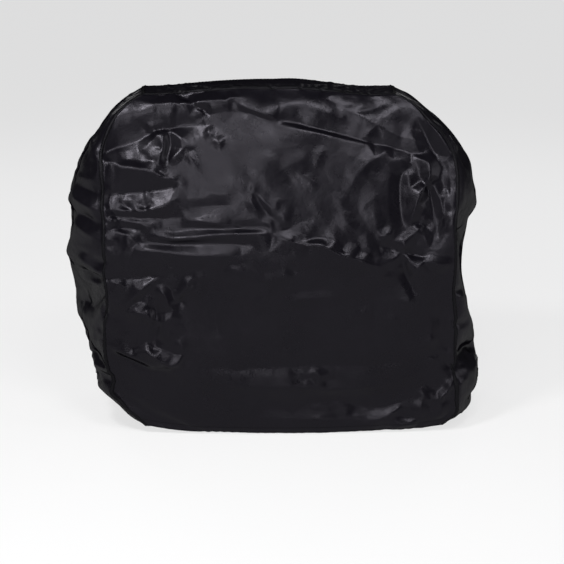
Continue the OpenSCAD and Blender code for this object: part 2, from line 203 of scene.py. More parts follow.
# ---------------------------------------------------------------- cloth
def drape(nets, frames=26):
    """The cover settles under its own weight, a little too big for its grill, so that it wrinkles. Its seams, top and straps hold it near its shape."""
    fi, bi, si, n = net_ids(NX, NZ, NY)
    co = weld((fi, bi, si), nets, n)
    q = all_quads(fi, bi, si)
    me = D.meshes.new("drape")
    me.from_pydata(co.tolist(), [], q.tolist())
    me.update()
    ob = D.objects.new("drape", me)
    bpy.context.scene.collection.objects.link(ob)
    w = np.full(n, .02)
    z = co[:, 2]
    w += .30 * np.exp(-((z + .02) / .05) ** 2)
    w += .05 * np.exp(-((z + .40) / .07) ** 2)
    for g in (si[:, 0], si[:, -1], fi[0], bi[0], si[0], si[-1]):
        w[g] = np.maximum(w[g], .30)
    strap = (np.abs(z + .7515) < .04) & (np.abs(co[:, 1]) < .17) & (np.abs(co[:, 0]) > .42)
    w[strap] = 1.
    w[np.abs(co[:, 1]) + 5 * np.abs(np.minimum(z, 0)) < .09] = .8
    vg = ob.vertex_groups.new(name="hold")
    for i in range(n):
        vg.add([i], float(min(w[i], 1)), "REPLACE")
    cl = ob.modifiers.new("Cloth", "CLOTH")
    st = cl.settings
    st.quality = 6
    st.mass = .25
    st.tension_stiffness = st.compression_stiffness = 30
    st.shear_stiffness = 12
    st.bending_stiffness = 6
    st.tension_damping = st.compression_damping = 12
    st.shear_damping = 8
    st.bending_damping = 1.5
    st.air_damping = 2
    st.vertex_group_mass = "hold"
    st.pin_stiffness = 6
    st.shrink_min = -.022
    st.effector_weights.gravity = .35
    cl.collision_settings.use_collision = False
    cl.collision_settings.use_self_collision = False
    sc = bpy.context.scene
    sc.frame_start, sc.frame_end = 1, frames
    cl.point_cache.frame_start, cl.point_cache.frame_end = 1, frames
    for f in range(1, frames + 1):
        sc.frame_set(f)
    ev = ob.evaluated_get(bpy.context.evaluated_depsgraph_get())
    out = np.empty(n * 3)
    ev.data.vertices.foreach_get("co", out)
    out = out.reshape(-1, 3)
    sc.frame_set(1)
    D.objects.remove(ob)
    D.meshes.remove(me)
    move = out - co
    far = np.linalg.norm(move, axis=1, keepdims=True)
    move *= np.minimum(1, .016 / np.maximum(far, 1e-9))
    mv = move[si]
    hump = np.sin(np.pi * np.linspace(0, 1, si.shape[1])) ** .4
    for a, b in ((0, NZ + 1), (NZ + NX, 2 * NZ + NX + 1)):
        m = mv[a:b, 6:-6, 0].mean(1)
        m = np.convolve(np.pad(m, 3, mode="edge"), np.ones(7) / 7, "valid")
        mv[a:b, :, 0] -= m[:, None] * hump[None, :]
    move[si[:, 1:-1].ravel()] = mv[:, 1:-1].reshape(-1, 3)
    for g in (fi, bi):
        mg = move[g]
        soft = mg.copy()
        for _ in range(5):
            p = np.pad(soft, ((1, 1), (1, 1), (0, 0)), mode="edge")
            soft = (p[:-2, 1:-1] + p[2:, 1:-1] + p[1:-1, :-2] + p[1:-1, 2:] + 2 * p[1:-1, 1:-1]) / 6
        k = smooth01((co[g][..., 2:3] + .30) / .20)
        mg = mg * (1 - k) + soft * k * .8
        if g is fi:
            k = smooth01((-.34 - co[g][..., 2:3]) / .10)
            mg = mg * (1 - k) + (.25 * mg + .15 * soft) * k
        move[g[:-1, 1:-1].ravel()] = mg[:-1, 1:-1].reshape(-1, 3)
    print("drape moved", far.mean(), far.max())
    out = co + move
    return out[fi], out[bi], out[si]


# ---------------------------------------------------------------- creases
def crease(h, x, z, pts, a, wa, wb=None, p=1.2, ends=.25):
    """Adds a crease to the relief h: a ridge if a is above 0, a valley if below, with its own width on the left of its run (wa) and on the right (wb). Millimetres."""
    wb = wa if wb is None else wb
    pts = np.asarray(pts, float)
    reach = max(wa, wb)
    lo, hi = pts.min(0) - reach, pts.max(0) + reach
    m = (x > lo[0]) & (x < hi[0]) & (z > lo[1]) & (z < hi[1])
    if not m.any():
        return
    X, Z = x[m], z[m]
    best = np.full(X.shape, 1e9)
    run = np.zeros(X.shape)
    left = np.zeros(X.shape, bool)
    seg = np.linalg.norm(np.diff(pts, axis=0), axis=1)
    total = seg.sum()
    start = 0.
    for k in range(len(pts) - 1):
        ax, az = pts[k]
        dx, dz = pts[k + 1] - pts[k]
        t = np.clip(((X - ax) * dx + (Z - az) * dz) / (dx * dx + dz * dz), 0, 1)
        ex, ez = X - ax - t * dx, Z - az - t * dz
        d = np.hypot(ex, ez)
        near = d < best
        best[near] = d[near]
        run[near] = start + t[near] * seg[k]
        left[near] = (dx * ez - dz * ex)[near] > 0
        start += seg[k]
    w = np.where(left, wa, wb)
    tail = np.clip(np.minimum(run, total - run) / (ends * total + 1e-9), 0, 1) ** .8
    h[m] += a * tail * np.clip(1 - best / w, 0, 1) ** p


def blob(h, x, z, cx, cz, rx, rz, a, turn=0.):
    c, s = math.cos(math.radians(turn)), math.sin(math.radians(turn))
    u, v = (x - cx) * c + (z - cz) * s, -(x - cx) * s + (z - cz) * c
    h += a * np.exp(-(u / rx) ** 2 - (v / rz) ** 2)


# Ridges and valleys of the front, in millimetres across and up: [points], height, width on the left of the run, width on the right
FRONT = [
    # pouch and pleats under the top seam at the left
    ([(-372, -48), (-345, -40), (-300, -47), (-240, -44), (-180, -42), (-110, -34), (-40, -24)], 11, 32, 55),
    ([(-268, -12), (-250, -30), (-236, -42)], 4, 14, 9),
    ([(-252, -12), (-228, -30), (-200, -42)], -5, 9, 12),
    ([(-150, -12), (-140, -24), (-118, -30)], 4, 10, 8),
    ([(-196, -54), (-176, -72), (-166, -92)], 5, 9, 8),
    ([(-184, -52), (-170, -62), (-172, -84)], -4, 7, 7),
    # the fan from the seam
    ([(-445, -172), (-400, -152), (-340, -131), (-300, -109), (-240, -98), (-180, -94)], -9, 26, 34),
    ([(-445, -175), (-400, -190), (-380, -197), (-320, -204), (-290, -218), (-245, -232)], 12, 42, 34),
    ([(-395, -160), (-350, -158), (-315, -168)], -3, 12, 12),
    ([(-300, -108), (-286, -128), (-284, -150)], 4, 8, 12),
    ([(-278, -100), (-276, -150), (-288, -186), (-275, -215)], 7, 12, 16),
    ([(-262, -104), (-260, -140), (-268, -172), (-262, -196)], -8, 10, 12),
    ([(-318, -160), (-298, -182), (-284, -204)], 4, 7, 9),
    ([(-268, -194), (-250, -172), (-222, -150), (-196, -146)], 6, 12, 10),
    ([(-246, -118), (-225, -132), (-205, -148)], 5, 9, 10),
    ([(-222, -158), (-206, -176), (-212, -186)], 5, 8, 10),
    ([(-166, -100), (-158, -118), (-146, -126)], 5, 12, 8),
    ([(-152, -128), (-138, -136), (-126, -142)], 5, 10, 8),
    ([(-212, -188), (-196, -190), (-186, -184)], 3, 8, 8),
    # the dark wedge and the bright band under it
    ([(-432, -266), (-400, -263), (-330, -257), (-280, -250), (-232, -238)], -9, 30, 22),
    ([(-428, -298), (-380, -303), (-330, -305), (-285, -296), (-230, -268)], 8, 28, 20),
    ([(-392, -268), (-376, -292), (-350, -306)], -4, 10, 10),
    ([(-318, -256), (-330, -285), (-322, -302)], -3, 10, 10),
    ([(-246, -250), (-238, -240), (-222, -234)], 4, 8, 10),
    # packing crease right across the left half
    ([(-520, -312), (-462, -320), (-430, -325), (-400, -322), (-345, -332), (-300, -338)], 4, 9, 11),
    ([(-430, -308), (-400, -318), (-340, -322), (-240, -318), (-190, -322)], -4, 12, 10),
    ([(-428, -342), (-375, -347), (-330, -346)], -5, 14, 16),
    ([(-395, -350), (-355, -372), (-326, -392)], 5, 12, 10),
    ([(-424, -368), (-405, -372), (-392, -366)], 3, 14, 10),
    ([(-340, -352), (-312, -340), (-296, -352), (-300, -368)], 3, 12, 10),
    # the two bright bands at the shelf's edge
    ([(-310, -362), (-250, -373), (-200, -370), (-150, -363), (-50, -359), (-4, -361)], 10, 20, 26),
    ([(-300, -345), (-250, -353), (-200, -345), (-130, -345), (-60, -346), (-10, -344)], -4, 12, 10),
    ([(-345, -380), (-250, -384), (-150, -382), (-70, -384)], -5, 10, 12),
    ([(-365, -396), (-290, -402), (-240, -409), (-180, -413), (-90, -412)], 9, 22, 40),
    ([(-4, -361), (60, -383), (120, -388), (150, -404), (210, -424), (262, -444), (312, -420)], 10, 44, 46),
    ([(-222, -298), (-160, -292), (-95, -290)], -4, 12, 12),
    ([(-224, -322), (-150, -334), (-92, -347)], 6, 24, 9),
    # knot of creases at the middle
    ([(-8, -318), (-8, -340), (-4, -360)], 3.75, 8, 9),
    ([(-66, -236), (-48, -270), (-22, -300), (-2, -332)], -3, 10, 12),
    ([(-52, -240), (-54, -276), (-44, -300)], 3.75, 9, 12),
    ([(-34, -268), (-10, -296), (2, -322)], 3, 8, 8),
    ([(12, -272), (4, -300), (2, -320)], 3, 9, 7),
    ([(20, -300), (28, -330), (22, -344)], 3, 10, 8),
    ([(18, -352), (46, -342), (74, -330), (96, -336)], -3.75, 12, 10),
    ([(12, -350), (24, -364), (52, -366), (74, -360)], 3, 9, 9),
    ([(52, -378), (80, -380), (96, -374)], 2.25, 7, 7),
    # long diagonal crease to the right shoulder
    ([(-92, -46), (-60, -58), (0, -77), (18, -84)], 7, 26, 22),
    ([(-110, -62), (-60, -64), (-10, -84)], -3, 12, 14),
    ([(10, -82), (100, -103), (160, -117), (200, -128), (300, -150), (352, -165), (392, -170)], -8, 44, 26),
    ([(10, -94), (100, -110), (160, -124), (240, -142)], 3, 9, 22),
    
    ([(130, -30), (170, -46), (215, -52)], -1.5, 24, 20),
    ([(215, -70), (262, -98), (238, -124)], 2, 30, 30),
    ([(90, -34), (180, -24), (300, -34)], 3, 22, 40),
    ([(200, -66), (250, -60), (300, -44)], -2.5, 24, 34),
    # soft marks over the middle of the slope
    ([(-38, -160), (-46, -190), (-46, -216)], 1.35, 10, 10),
    ([(-2, -164), (-14, -184), (-18, -206)], 1.35, 10, 8),
    ([(20, -196), (60, -186), (88, -180)], 1.8, 14, 18),
    ([(26, -204), (42, -226), (44, -250)], -1.8, 14, 16),
    ([(124, -150), (112, -180), (104, -200)], 1.8, 8, 8),
    ([(276, -166), (240, -192), (208, -220), (192, -254)], 2.7, 16, 18),
    ([(242, -206), (300, -212), (332, -202)], -1.8, 16, 14),
    ([(262, -268), (238, -286), (222, -280)], 1.8, 14, 12),
    ([(70, -214), (92, -232), (110, -250)], 1.8, 14, 12),
    ([(150, -262), (166, -276), (176, -300)], 1.8, 12, 10),
    ([(-180, -250), (-140, -262), (-100, -256)], 1.35, 14, 14),
    ([(-220, -210), (-190, -218), (-150, -214)], 1.35, 14, 16),
    ([(170, -300), (184, -330), (200, -352)], 2.25, 12, 14),
    ([(140, -350), (156, -372), (170, -392)], 2.25, 14, 12),
    ([(232, -356), (236, -390), (244, -408)], 2.25, 10, 12),
    ([(248, -300), (262, -330), (256, -358)], 2.7, 12, 16),
    # bright upright facets at the right
    ([(352, -196), (326, -214), (318, -240), (319, -300), (328, -348)], -7, 30, 16),
    ([(362, -176), (392, -192), (396, -225), (372, -262), (352, -310), (344, -342)], 14, 16, 16),
    ([(382, -238), (396, -262), (402, -290), (408, -332)], -6, 10, 12),
    ([(402, -236), (420, -280), (430, -320), (438, -352)], 7, 10, 16),
    ([(340, -216), (346, -250), (338, -290)], 3, 8, 8),
    ([(444, -170), (448, -230), (450, -290), (444, -350)], 6, 12, 14),
    # bright strip under the right seam
    ([(368, -84), (384, -116), (404, -160), (422, -194)], -8, 22, 24),
    ([(392, -84), (430, -132), (446, -166), (436, -194)], 12, 16, 18),
    ([(330, -130), (360, -136), (366, -158)], 3, 14, 12),
    ([(398, -172), (412, -180), (424, -192)], 4, 7, 7),
    # star of creases at the right
    ([(318, -406), (290, -398), (264, -392)], -8.75, 12, 16),
    ([(268, -374), (290, -362), (306, -356)], 6.25, 12, 9),
    ([(322, -368), (330, -388), (320, -406)], 8.75, 14, 12),
    ([(320, -406), (350, -416), (378, -420), (402, -406), (424, -388)], -10, 16, 14),
    ([(372, -424), (400, -408), (426, -388)], 7.5, 9, 9),
    ([(320, -406), (326, -430), (334, -462), (352, -500), (356, -530)], -7.5, 12, 12),
    ([(326, -410), (344, -424), (334, -446)], 7.5, 8, 8),
    ([(378, -426), (364, -446), (350, -470)], 12.5, 14, 14),
    ([(352, -472), (380, -458), (392, -446)], 5, 12, 10),
    ([(362, -424), (380, -430), (420, -438), (466, -441)], 7.5, 10, 14),
    ([(330, -362), (350, -370), (366, -352), (376, -340)], 7.5, 9, 9),
    ([(376, -352), (384, -378), (392, -398)], 6.25, 9, 9),
    ([(358, -336), (384, -342), (400, -336)], -6.25, 9, 9),
    # left of the lower half: the horizontal crease and the crumpled pouch
    ([(-430, -474), (-380, -473), (-330, -470), (-296, -465), (-245, -455)], -8, 36, 26),
    ([(-430, -500), (-412, -512), (-398, -540), (-380, -548)], 8, 22, 22),
    ([(-378, -546), (-340, -508), (-318, -486), (-300, -472)], 5, 8, 9),
    ([(-372, -552), (-330, -516), (-308, -498)], -3, 7, 7),
    ([(-374, -556), (-345, -556), (-318, -564), (-300, -584)], 9, 18, 18),
    ([(-304, -506), (-298, -550), (-297, -600), (-304, -652)], -9, 10, 11),
    ([(-292, -494), (-276, -516), (-268, -540), (-248, -552)], 8, 12, 10),
    ([(-290, -584), (-272, -580), (-246, -562)], 5, 9, 8),
    ([(-248, -532), (-228, -504), (-206, -468)], 6, 7, 9),
    ([(-242, -546), (-236, -528), (-224, -520)], -6, 9, 9),
    ([(-258, -444), (-266, -456), (-300, -466)], 4, 6, 9),
    ([(-204, -466), (-186, -470), (-172, -466)], 4, 10, 8),
    ([(-208, -490), (-192, -508), (-172, -504)], 6, 14, 12),
    ([(-428, -486), (-414, -478), (-400, -480)], 4, 6, 7),
    ([(-286, -614), (-270, -618), (-256, -610)], 5, 10, 10),
    ([(-240, -628), (-236, -650), (-230, -672)], 4, 10, 12),
    ([(-350, -655), (-316, -661), (-282, -686), (-264, -697), (-246, -690), (-226, -668)], 17, 26, 30),
    ([(-446, -638), (-410, -652), (-360, -676), (-310, -696), (-264, -702), (-220, -706)], 9, 18, 26),
    ([(-400, -672), (-360, -686), (-320, -706)], -5, 10, 14),
    ([(-280, -712), (-240, -712), (-206, -703)], 5, 9, 14),
    # the fold across the bottom
    ([(-206, -701), (-100, -708), (0, -705), (60, -704), (130, -702), (250, -700), (330, -694), (380, -684), (424, -680)], -4, 20, 20),
    ([(-195, -726), (-120, -752), (-20, -757), (60, -752), (150, -764), (250, -758), (340, -738), (404, -708)], 7, 44, 66),
    ([(392, -688), (408, -692), (426, -680)], 4, 8, 9),
    ([(106, -712), (116, -728), (126, -738)], 4, 8, 8),
    ([(86, -804), (130, -804), (160, -799), (196, -806), (240, -818), (282, -819), (322, -806)], -6, 20, 18),
    ([(90, -808), (130, -808), (165, -803), (195, -810)], 4, 8, 10),
    ([(250, -852), (290, -838), (330, -812)], 6, 16, 14),
    ([(-110, -800), (-60, -806), (-16, -798)], 4, 16, 16),
    ([(-240, -738), (-220, -734), (-206, -738)], 3, 8, 8),
    # right corner
    ([(402, -772), (386, -784), (379, -810), (374, -842)], 7, 9, 14),
    ([(458, -748), (452, -770), (428, -796), (416, -806)], 9, 10, 12),
    ([(436, -804), (430, -826), (424, -846)], 5, 7, 9),
    ([(492, -742), (478, -756), (464, -768)], 5, 7, 7),
    ([(430, -684), (446, -706), (460, -720)], -5, 8, 9),
    ([(476, -706), (468, -726), (462, -744)], -5, 8, 8),
    ([(418, -556), (426, -600), (426, -655)], -7, 10, 10),
    ([(438, -668), (452, -656), (466, -650)], -4, 8, 8),
    ([(404, -628), (402, -640), (398, -652)], 4, 8, 8),
    ([(300, -872), (330, -860), (372, -850)], 7, 18, 14),
    ([(310, -838), (340, -842), (372, -848)], -5, 10, 12),
    # soft drape marks over the lower half
    ([(-60, -442), (-76, -464), (-98, -492)], 4.81, 8, 9),
    ([(-6, -500), (-28, -526), (-44, -562)], 4.81, 8, 8),
    ([(-50, -496), (-24, -478), (30, -465), (72, -474)], 3.85, 10, 12),
    ([(20, -556), (40, -534), (80, -526), (130, -522), (160, -540)], 3.85, 10, 12),
    ([(236, -482), (262, -470), (306, -474)], 3.85, 9, 12),
    ([(320, -546), (340, -536), (354, -520)], 3.85, 9, 12),
    ([(212, -588), (220, -566), (236, -556)], 2.89, 10, 12),
    ([(290, -596), (304, -582), (318, -578)], 2.89, 10, 10),
    ([(-150, -540), (-146, -580), (-140, -624)], -4.81, 12, 14),
    ([(-176, -748), (-174, -770), (-172, -790)], -3.85, 9, 9),
    ([(-120, -470), (-108, -458), (-100, -440)], 2.89, 12, 12),
    ([(60, -620), (70, -680), (66, -730)], -2.89, 26, 26),
    ([(250, -520), (262, -600), (256, -680)], -2.89, 30, 30),
    ([(-90, -600), (-80, -660), (-86, -700)], 2.89, 30, 30),
]
# The same for what shows of the left side, and of the right one
LEFT_SIDE = [
    ([(-500, -250), (-465, -256), (-436, -266)], -8, 16, 18),
    ([(-505, -272), (-470, -292), (-436, -304)], 11, 22, 16),
    ([(-512, -312), (-470, -322), (-434, -332)], -7, 14, 16),
    ([(-505, -338), (-470, -358), (-434, -378)], 12, 20, 26),
    ([(-512, -470), (-478, -478), (-430, -488)], -14, 30, 30),
    ([(-505, -496), (-470, -494), (-430, -496)], 7, 12, 16),
    ([(-500, -428), (-466, -440), (-446, -462)], 8, 14, 12),
    ([(-500, -620), (-470, -640), (-440, -640)], 6, 30, 24),
    ([(-470, -120), (-450, -150), (-442, -176)], 6, 14, 14),
]
RIGHT_SIDE = [
    ([(500, -150), (498, -200), (505, -262), (512, -282)], 7, 9, 9),
    ([(512, -282), (500, -330), (486, -360)], -6, 12, 12),
    ([(476, -360), (490, -372), (505, -378)], -12, 14, 16),
    ([(474, -395), (482, -420), (492, -444)], 5, 8, 8),
    ([(500, -640), (520, -660), (534, -668)], 7, 14, 14),
    ([(505, -700), (520, -716), (532, -720)], -6, 14, 14),
]


def blur(g, n=1):
    for _ in range(n):
        p = np.pad(g, 1, mode="edge")
        g = (p[:-2, 1:-1] + p[2:, 1:-1] + 2 * p[1:-1, 1:-1]) / 4
        p = np.pad(g, 1, mode="edge")
        g = (p[1:-1, :-2] + p[1:-1, 2:] + 2 * p[1:-1, 1:-1]) / 4
    return g


def spaced(pts, step):
    """Points every step along a broken line, with how far along it each one is, from 0 to 1."""
    pts = np.asarray(pts, float)
    d = np.r_[0, np.cumsum(np.linalg.norm(np.diff(pts, axis=0), axis=1))]
    n = max(2, int(round(d[-1] / step)))
    t = np.linspace(0, d[-1], n + 1)
    return np.stack([np.interp(t, d, pts[:, 0]), np.interp(t, d, pts[:, 1])], 1), t / d[-1]


def facets(x, z, table, far=38., res=2.5, soft=2, sharp=.04):
    """The relief of crumpled cloth: flat facets that run from each ridge or valley of the table to the next one, or to level cloth past its width."""
    lines, owner, height = [], [], []
    for k, (pts, a, wa, wb) in enumerate(table):
        p, t = spaced(pts, 7.)
        tail = .12 + .88 * np.clip(np.minimum(t, 1 - t) / .3, 0, 1) ** .7
        lines.append(p)
        owner.append(np.full(len(p), k))
        height.append(a * tail)
    P, O, A = np.vstack(lines), np.concatenate(owner), np.concatenate(height)
    d = np.hypot(P[:, None, 0] - P[None, :, 0], P[:, None, 1] - P[None, :, 1])
    w = np.exp(-(d / 5.) ** 2)
    A = (w * A[None, :]).sum(1) / w.sum(1)
    rest = []
    for k, (pts, a, wa, wb) in enumerate(table):
        p, t = spaced(pts, 12.)
        g = np.gradient(p, axis=0)
        g /= np.maximum(np.linalg.norm(g, axis=1, keepdims=True), 1e-9)
        side = np.stack([-g[:, 1], g[:, 0]], 1)
        wa, wb = max(1.7 * wa, 21.), max(1.7 * wb, 21.)
        for q, width in ((p + side * wa, wa), (p - side * wb, wb), (p[:1] - g[:1] * 9, 9), (p[-1:] + g[-1:] * 9, 9)):
            e = np.hypot(q[:, None, 0] - P[None, :, 0], q[:, None, 1] - P[None, :, 1]).min(1)
            rest.append(q[e > .80 * width])
    R = np.vstack(rest)
    gx, gz = np.meshgrid(np.arange(x.min() - 30, x.max() + 60, 46.), np.arange(z.min() - 30, z.max() + 60, 46.))
    G = np.stack([gx.ravel() + 14 * np.sin(gz.ravel() * .13), gz.ravel() + 14 * np.sin(gx.ravel() * .11)], 1)
    e = np.hypot(G[:, None, 0] - P[None, :, 0], G[:, None, 1] - P[None, :, 1]).min(1)
    e2 = np.hypot(G[:, None, 0] - R[None, :, 0], G[:, None, 1] - R[None, :, 1]).min(1)
    G = G[(e > far) & (e2 > 16)]
    lo = np.minimum([x.min(), z.min()], np.vstack([P, R]).min(0)) - 120
    hi = np.maximum([x.max(), z.max()], np.vstack([P, R]).max(0)) + 120
    K = np.array([[lo[0], lo[1]], [hi[0], lo[1]], [hi[0], hi[1]], [lo[0], hi[1]]])
    pts = np.vstack([P, R, G, K])
    ht = np.r_[A, np.zeros(len(R) + len(G) + 4)]
    vs, _, tris, orig, _, _ = delaunay_2d_cdt([Vector(v) for v in pts], [], [], 0, .4)
    V = np.array([(v[0], v[1]) for v in vs])
    HV = np.array([np.mean([ht[i] for i in o]) if len(o) else 0. for o in orig])
    nxg, nzg = int((hi[0] - lo[0]) / res) + 2, int((hi[1] - lo[1]) / res) + 2
    grid = np.zeros((nzg, nxg))
    for t in tris:
        a, b, c = V[t[0]], V[t[1]], V[t[2]]
        det = (b[0] - a[0]) * (c[1] - a[1]) - (c[0] - a[0]) * (b[1] - a[1])
        if abs(det) < 1e-9:
            continue
        i0, i1 = int((min(a[0], b[0], c[0]) - lo[0]) / res), int((max(a[0], b[0], c[0]) - lo[0]) / res) + 1
        j0, j1 = int((min(a[1], b[1], c[1]) - lo[1]) / res), int((max(a[1], b[1], c[1]) - lo[1]) / res) + 1
        X, Z = np.meshgrid(lo[0] + res * np.arange(i0, i1 + 1), lo[1] + res * np.arange(j0, j1 + 1))
        u = ((X - a[0]) * (c[1] - a[1]) - (c[0] - a[0]) * (Z - a[1])) / det
        v = ((b[0] - a[0]) * (Z - a[1]) - (X - a[0]) * (b[1] - a[1])) / det
        m = (u >= -1e-6) & (v >= -1e-6) & (u + v <= 1 + 1e-6)
        val = HV[t[0]] * (1 - u - v) + HV[t[1]] * u + HV[t[2]] * v
        part = grid[j0:j1 + 1, i0:i1 + 1]
        part[m] = val[m]
    grid = blur(grid, soft)
    fx, fz = (x - lo[0]) / res, (z - lo[1]) / res
    i, j = np.clip(fx.astype(int), 0, nxg - 2), np.clip(fz.astype(int), 0, nzg - 2)
    a, b = fx - i, fz - j
    h = grid[j, i] * (1 - a) * (1 - b) + grid[j, i + 1] * a * (1 - b) + grid[j + 1, i] * (1 - a) * b + grid[j + 1, i + 1] * a * b
    if sharp:
        for pts_, a_, wa, wb in table:
            crease(h, x, z, pts_, a_ * sharp, min(wa, 8), min(wb, 8))
    return h


def noise(x, z, seed, cx, cz, amp):
    """Smooth random swells of about amp, in cells of cx by cz."""
    rng = np.random.default_rng(seed)
    g = rng.normal(0, 1, (64, 64))
    u, v = x / cx + 31.3, z / cz + 31.7
    i, j = np.floor(u).astype(int), np.floor(v).astype(int)
    a, b = smooth01(u - i), smooth01(v - j)
    i, j = i % 63, j % 63
    return amp * (g[i, j] * (1 - a) * (1 - b) + g[i + 1, j] * a * (1 - b) + g[i, j + 1] * (1 - a) * b + g[i + 1, j + 1] * a * b)


def swells(x, z, seed):
    out = np.zeros(x.shape)
    for k, (turn, cx, cz, amp) in enumerate(((35, 150, 150, 1.5), (-20, 110, 170, 1.3), (12, 40, 90, .55), (-9, 46, 80, .55), (28, 24, 36, .2), (-33, 22, 34, .2))):
        c, s_ = math.cos(math.radians(turn)), math.sin(math.radians(turn))
        out += noise(x * c - z * s_, x * s_ + z * c, seed + k, cx, cz, amp)
    return out


def relief_front(x, z, table):
    return facets(x, z, table)


def random_creases(seed, count, box, keep=None):
    """Packing creases for the sides that don't show from the front: short broken lines, ridges and valleys, a few meeting at each of some knots."""
    rng = np.random.default_rng(seed)
    (x0, z0), (x1, z1) = box
    out = []
    for k in range(count):
        cx, cz = rng.uniform(x0, x1), rng.uniform(z0, z1)
        arms = rng.integers(2, 5)
        turn = rng.uniform(0, 2 * math.pi)
        for a in range(arms):
            ang = turn + a * 2 * math.pi / arms + rng.normal(0, .35)
            length = rng.uniform(35, 120)
            p = [(cx, cz)]
            for s in range(3):
                ang += rng.normal(0, .22)
                p.append((p[-1][0] + math.cos(ang) * length / 3, p[-1][1] + .75 * math.sin(ang) * length / 3))
            p = sorted(p)
            out.append((p, (1 if a % 2 else -1) * rng.uniform(2.5, 7.5), rng.uniform(8, 30), rng.uniform(8, 30)))
    return out


GAIN = .001
nets = [lift_corners(p) for p in base_nets(NX, NZ, NY)]
nets = drape(nets)
F, B, S = (finer(n, FINE) for n in nets)
nx, nz, ny = NX * FINE, NZ * FINE, NY * FINE
FI, BI, SI, N = net_ids(nx, nz, ny)
CO = weld((FI, BI, SI), (F, B, S), N)
Q = all_quads(FI, BI, SI)
NO = normals(CO, Q)

# relief of each net, then one height for each shared point
H = np.zeros(N)
f = CO[FI] * 1000
hf = relief_front(f[..., 0], f[..., 2], FRONT)
fl = relief_front(f[..., 0], f[..., 2], LEFT_SIDE) * smooth01((-400 - f[..., 0]) / 30)
fr = relief_front(f[..., 0], f[..., 2], RIGHT_SIDE) * smooth01((f[..., 0] - 440) / 30)
hf = hf + fl + fr + swells(f[..., 0], f[..., 2], 71)
s = CO[SI] * 1000
ahead = smooth01((40 - s[..., 1]) / 160)
hs = relief_front(s[..., 0], s[..., 2], FRONT) * smooth01((-60 - s[..., 1]) / 100)
hs += (relief_front(s[..., 0], s[..., 2], LEFT_SIDE) + relief_front(s[..., 0], s[..., 2], RIGHT_SIDE)) * ahead
kk = np.arange(len(S))
lrows, rrows = kk <= nz, kk >= nz + nx
side_l = random_creases(11, 12, ((-210, -860), (220, -60)))
side_r = random_creases(23, 12, ((-210, -860), (220, -60)))
hy = np.zeros(s.shape[:2])
hy[lrows] = relief_front(s[lrows][..., 1], s[lrows][..., 2], side_l)
hy[rrows] = relief_front(s[rrows][..., 1], s[rrows][..., 2], side_r)
trows = ~(lrows | rrows)
top_l = random_creases(5, 7, ((-300, -90), (300, 90)))
hy[trows] = .12 * relief_front(s[trows][..., 0], s[trows][..., 1], top_l)
strap = smooth01((70 - np.abs(s[..., 2] + 751.5)) / 34) * smooth01((175 - np.abs(s[..., 1])) / 24)
hs += np.where(trows[:, None], .4 * swells(s[..., 0], s[..., 1], 81), swells(s[..., 1], s[..., 2], 91))
hs = (hs + hy * smooth01((s[..., 1] + 200) / 120) * .8) * (1 - strap)
b = CO[BI] * 1000
hb = relief_front(b[..., 0], b[..., 2], random_creases(37, 34, ((-460, -860), (480, -60))))
hb += swells(b[..., 0], b[..., 2], 101) + relief_front(b[..., 0], b[..., 2], [
    ([(-420, -330), (-200, -345), (0, -338), (200, -350), (430, -332)], 7, 24, 30),
    ([(-300, -48), (-100, -40), (120, -46), (300, -40)], 8, 26, 40),
    ([(-380, -720), (-120, -742), (120, -730), (430, -715)], 8, 26, 30)])
edge_f = np.minimum(np.minimum(np.arange(nx + 1), nx - np.arange(nx + 1))[None, :], (nz - np.arange(nz + 1))[:, None])
fade = .35 + .65 * smooth01(edge_f / 4)
H[SI] = hs
H[SI[:, 0]] = (hf[:, 0].tolist() + hf[-1, 1:-1].tolist() + hf[::-1, -1].tolist())
H[SI[:, 0]] *= .35
inner = (FI != -1)
inner[:, 0] = inner[:, -1] = inner[-1] = False
H[FI[inner]] = (hf * fade)[inner]
inner = np.ones_like(BI, bool)
inner[:, 0] = inner[:, -1] = inner[-1] = False
H[BI[inner]] = (hb * fade)[inner]
CO = CO + NO * H[:, None] * GAIN
# puckers along the stitched seams
for j, sgn in ((0, 1), (ny, -1)):
    for d, amp in ((0, .8), (1, -.5), (2, .25)):
        col = SI[:, j + sgn * d]
        run = np.arange(len(col)) * .0047
        CO[col] += NO[col] * (np.where((np.arange(len(col)) > nz) & (np.arange(len(col)) < nz + nx), .06, 1.) [:, None]) * (amp * .001 * (1 + .8 * np.sin(run * 2 * math.pi / .019 + np.sin(run * 13)))[:, None])


def hold_land(co):
    """Keeps the sides flat under the straps."""
    p = co[SI]
    for rows, x in ((lrows, -.455), (rrows, .533)):
        q = p[rows]
        m = smooth01((.0345 - np.abs(q[..., 2] + .7515)) / .0095) * smooth01((.155 - np.abs(q[..., 1])) / .008)
        q[..., 0] = q[..., 0] * (1 - m) + (x - math.copysign(.0004, x)) * m
        p[rows] = q
    co[SI.ravel()] = p.reshape(-1, 3)
    return co


def hold_outline(co):
    """Moves the sides across so that their outermost line is the outline."""
    p = co[SI]
    hump = np.sin(np.pi * np.linspace(0, 1, p.shape[1])) ** .5
    for rows, table, sign in ((np.arange(0, nz + 1), LEFT, -1), (np.arange(len(p) - 1, nz + nx - 1, -1), RIGHT, 1)):
        line = even(table, nz)
        q = p[rows]
        mid = q[:, ny // 5:-ny // 5]
        out = (sign * mid[..., 0]).max(1)
        zz = mid[..., 2].mean(1)
        want = np.interp(zz, line[:, 1], sign * line[:, 0])
        d = np.convolve(np.pad(want - out, 2, mode="edge"), np.ones(5) / 5, "valid")
        d *= smooth01((-.035 - zz) / .05)
        print("outline moved", np.abs(d).max())
        p[rows, :, 0] = q[..., 0] + sign * d[:, None] * hump[None, :]
    co[SI[:, 1:-1].ravel()] = p[:, 1:-1].reshape(-1, 3)
    return co


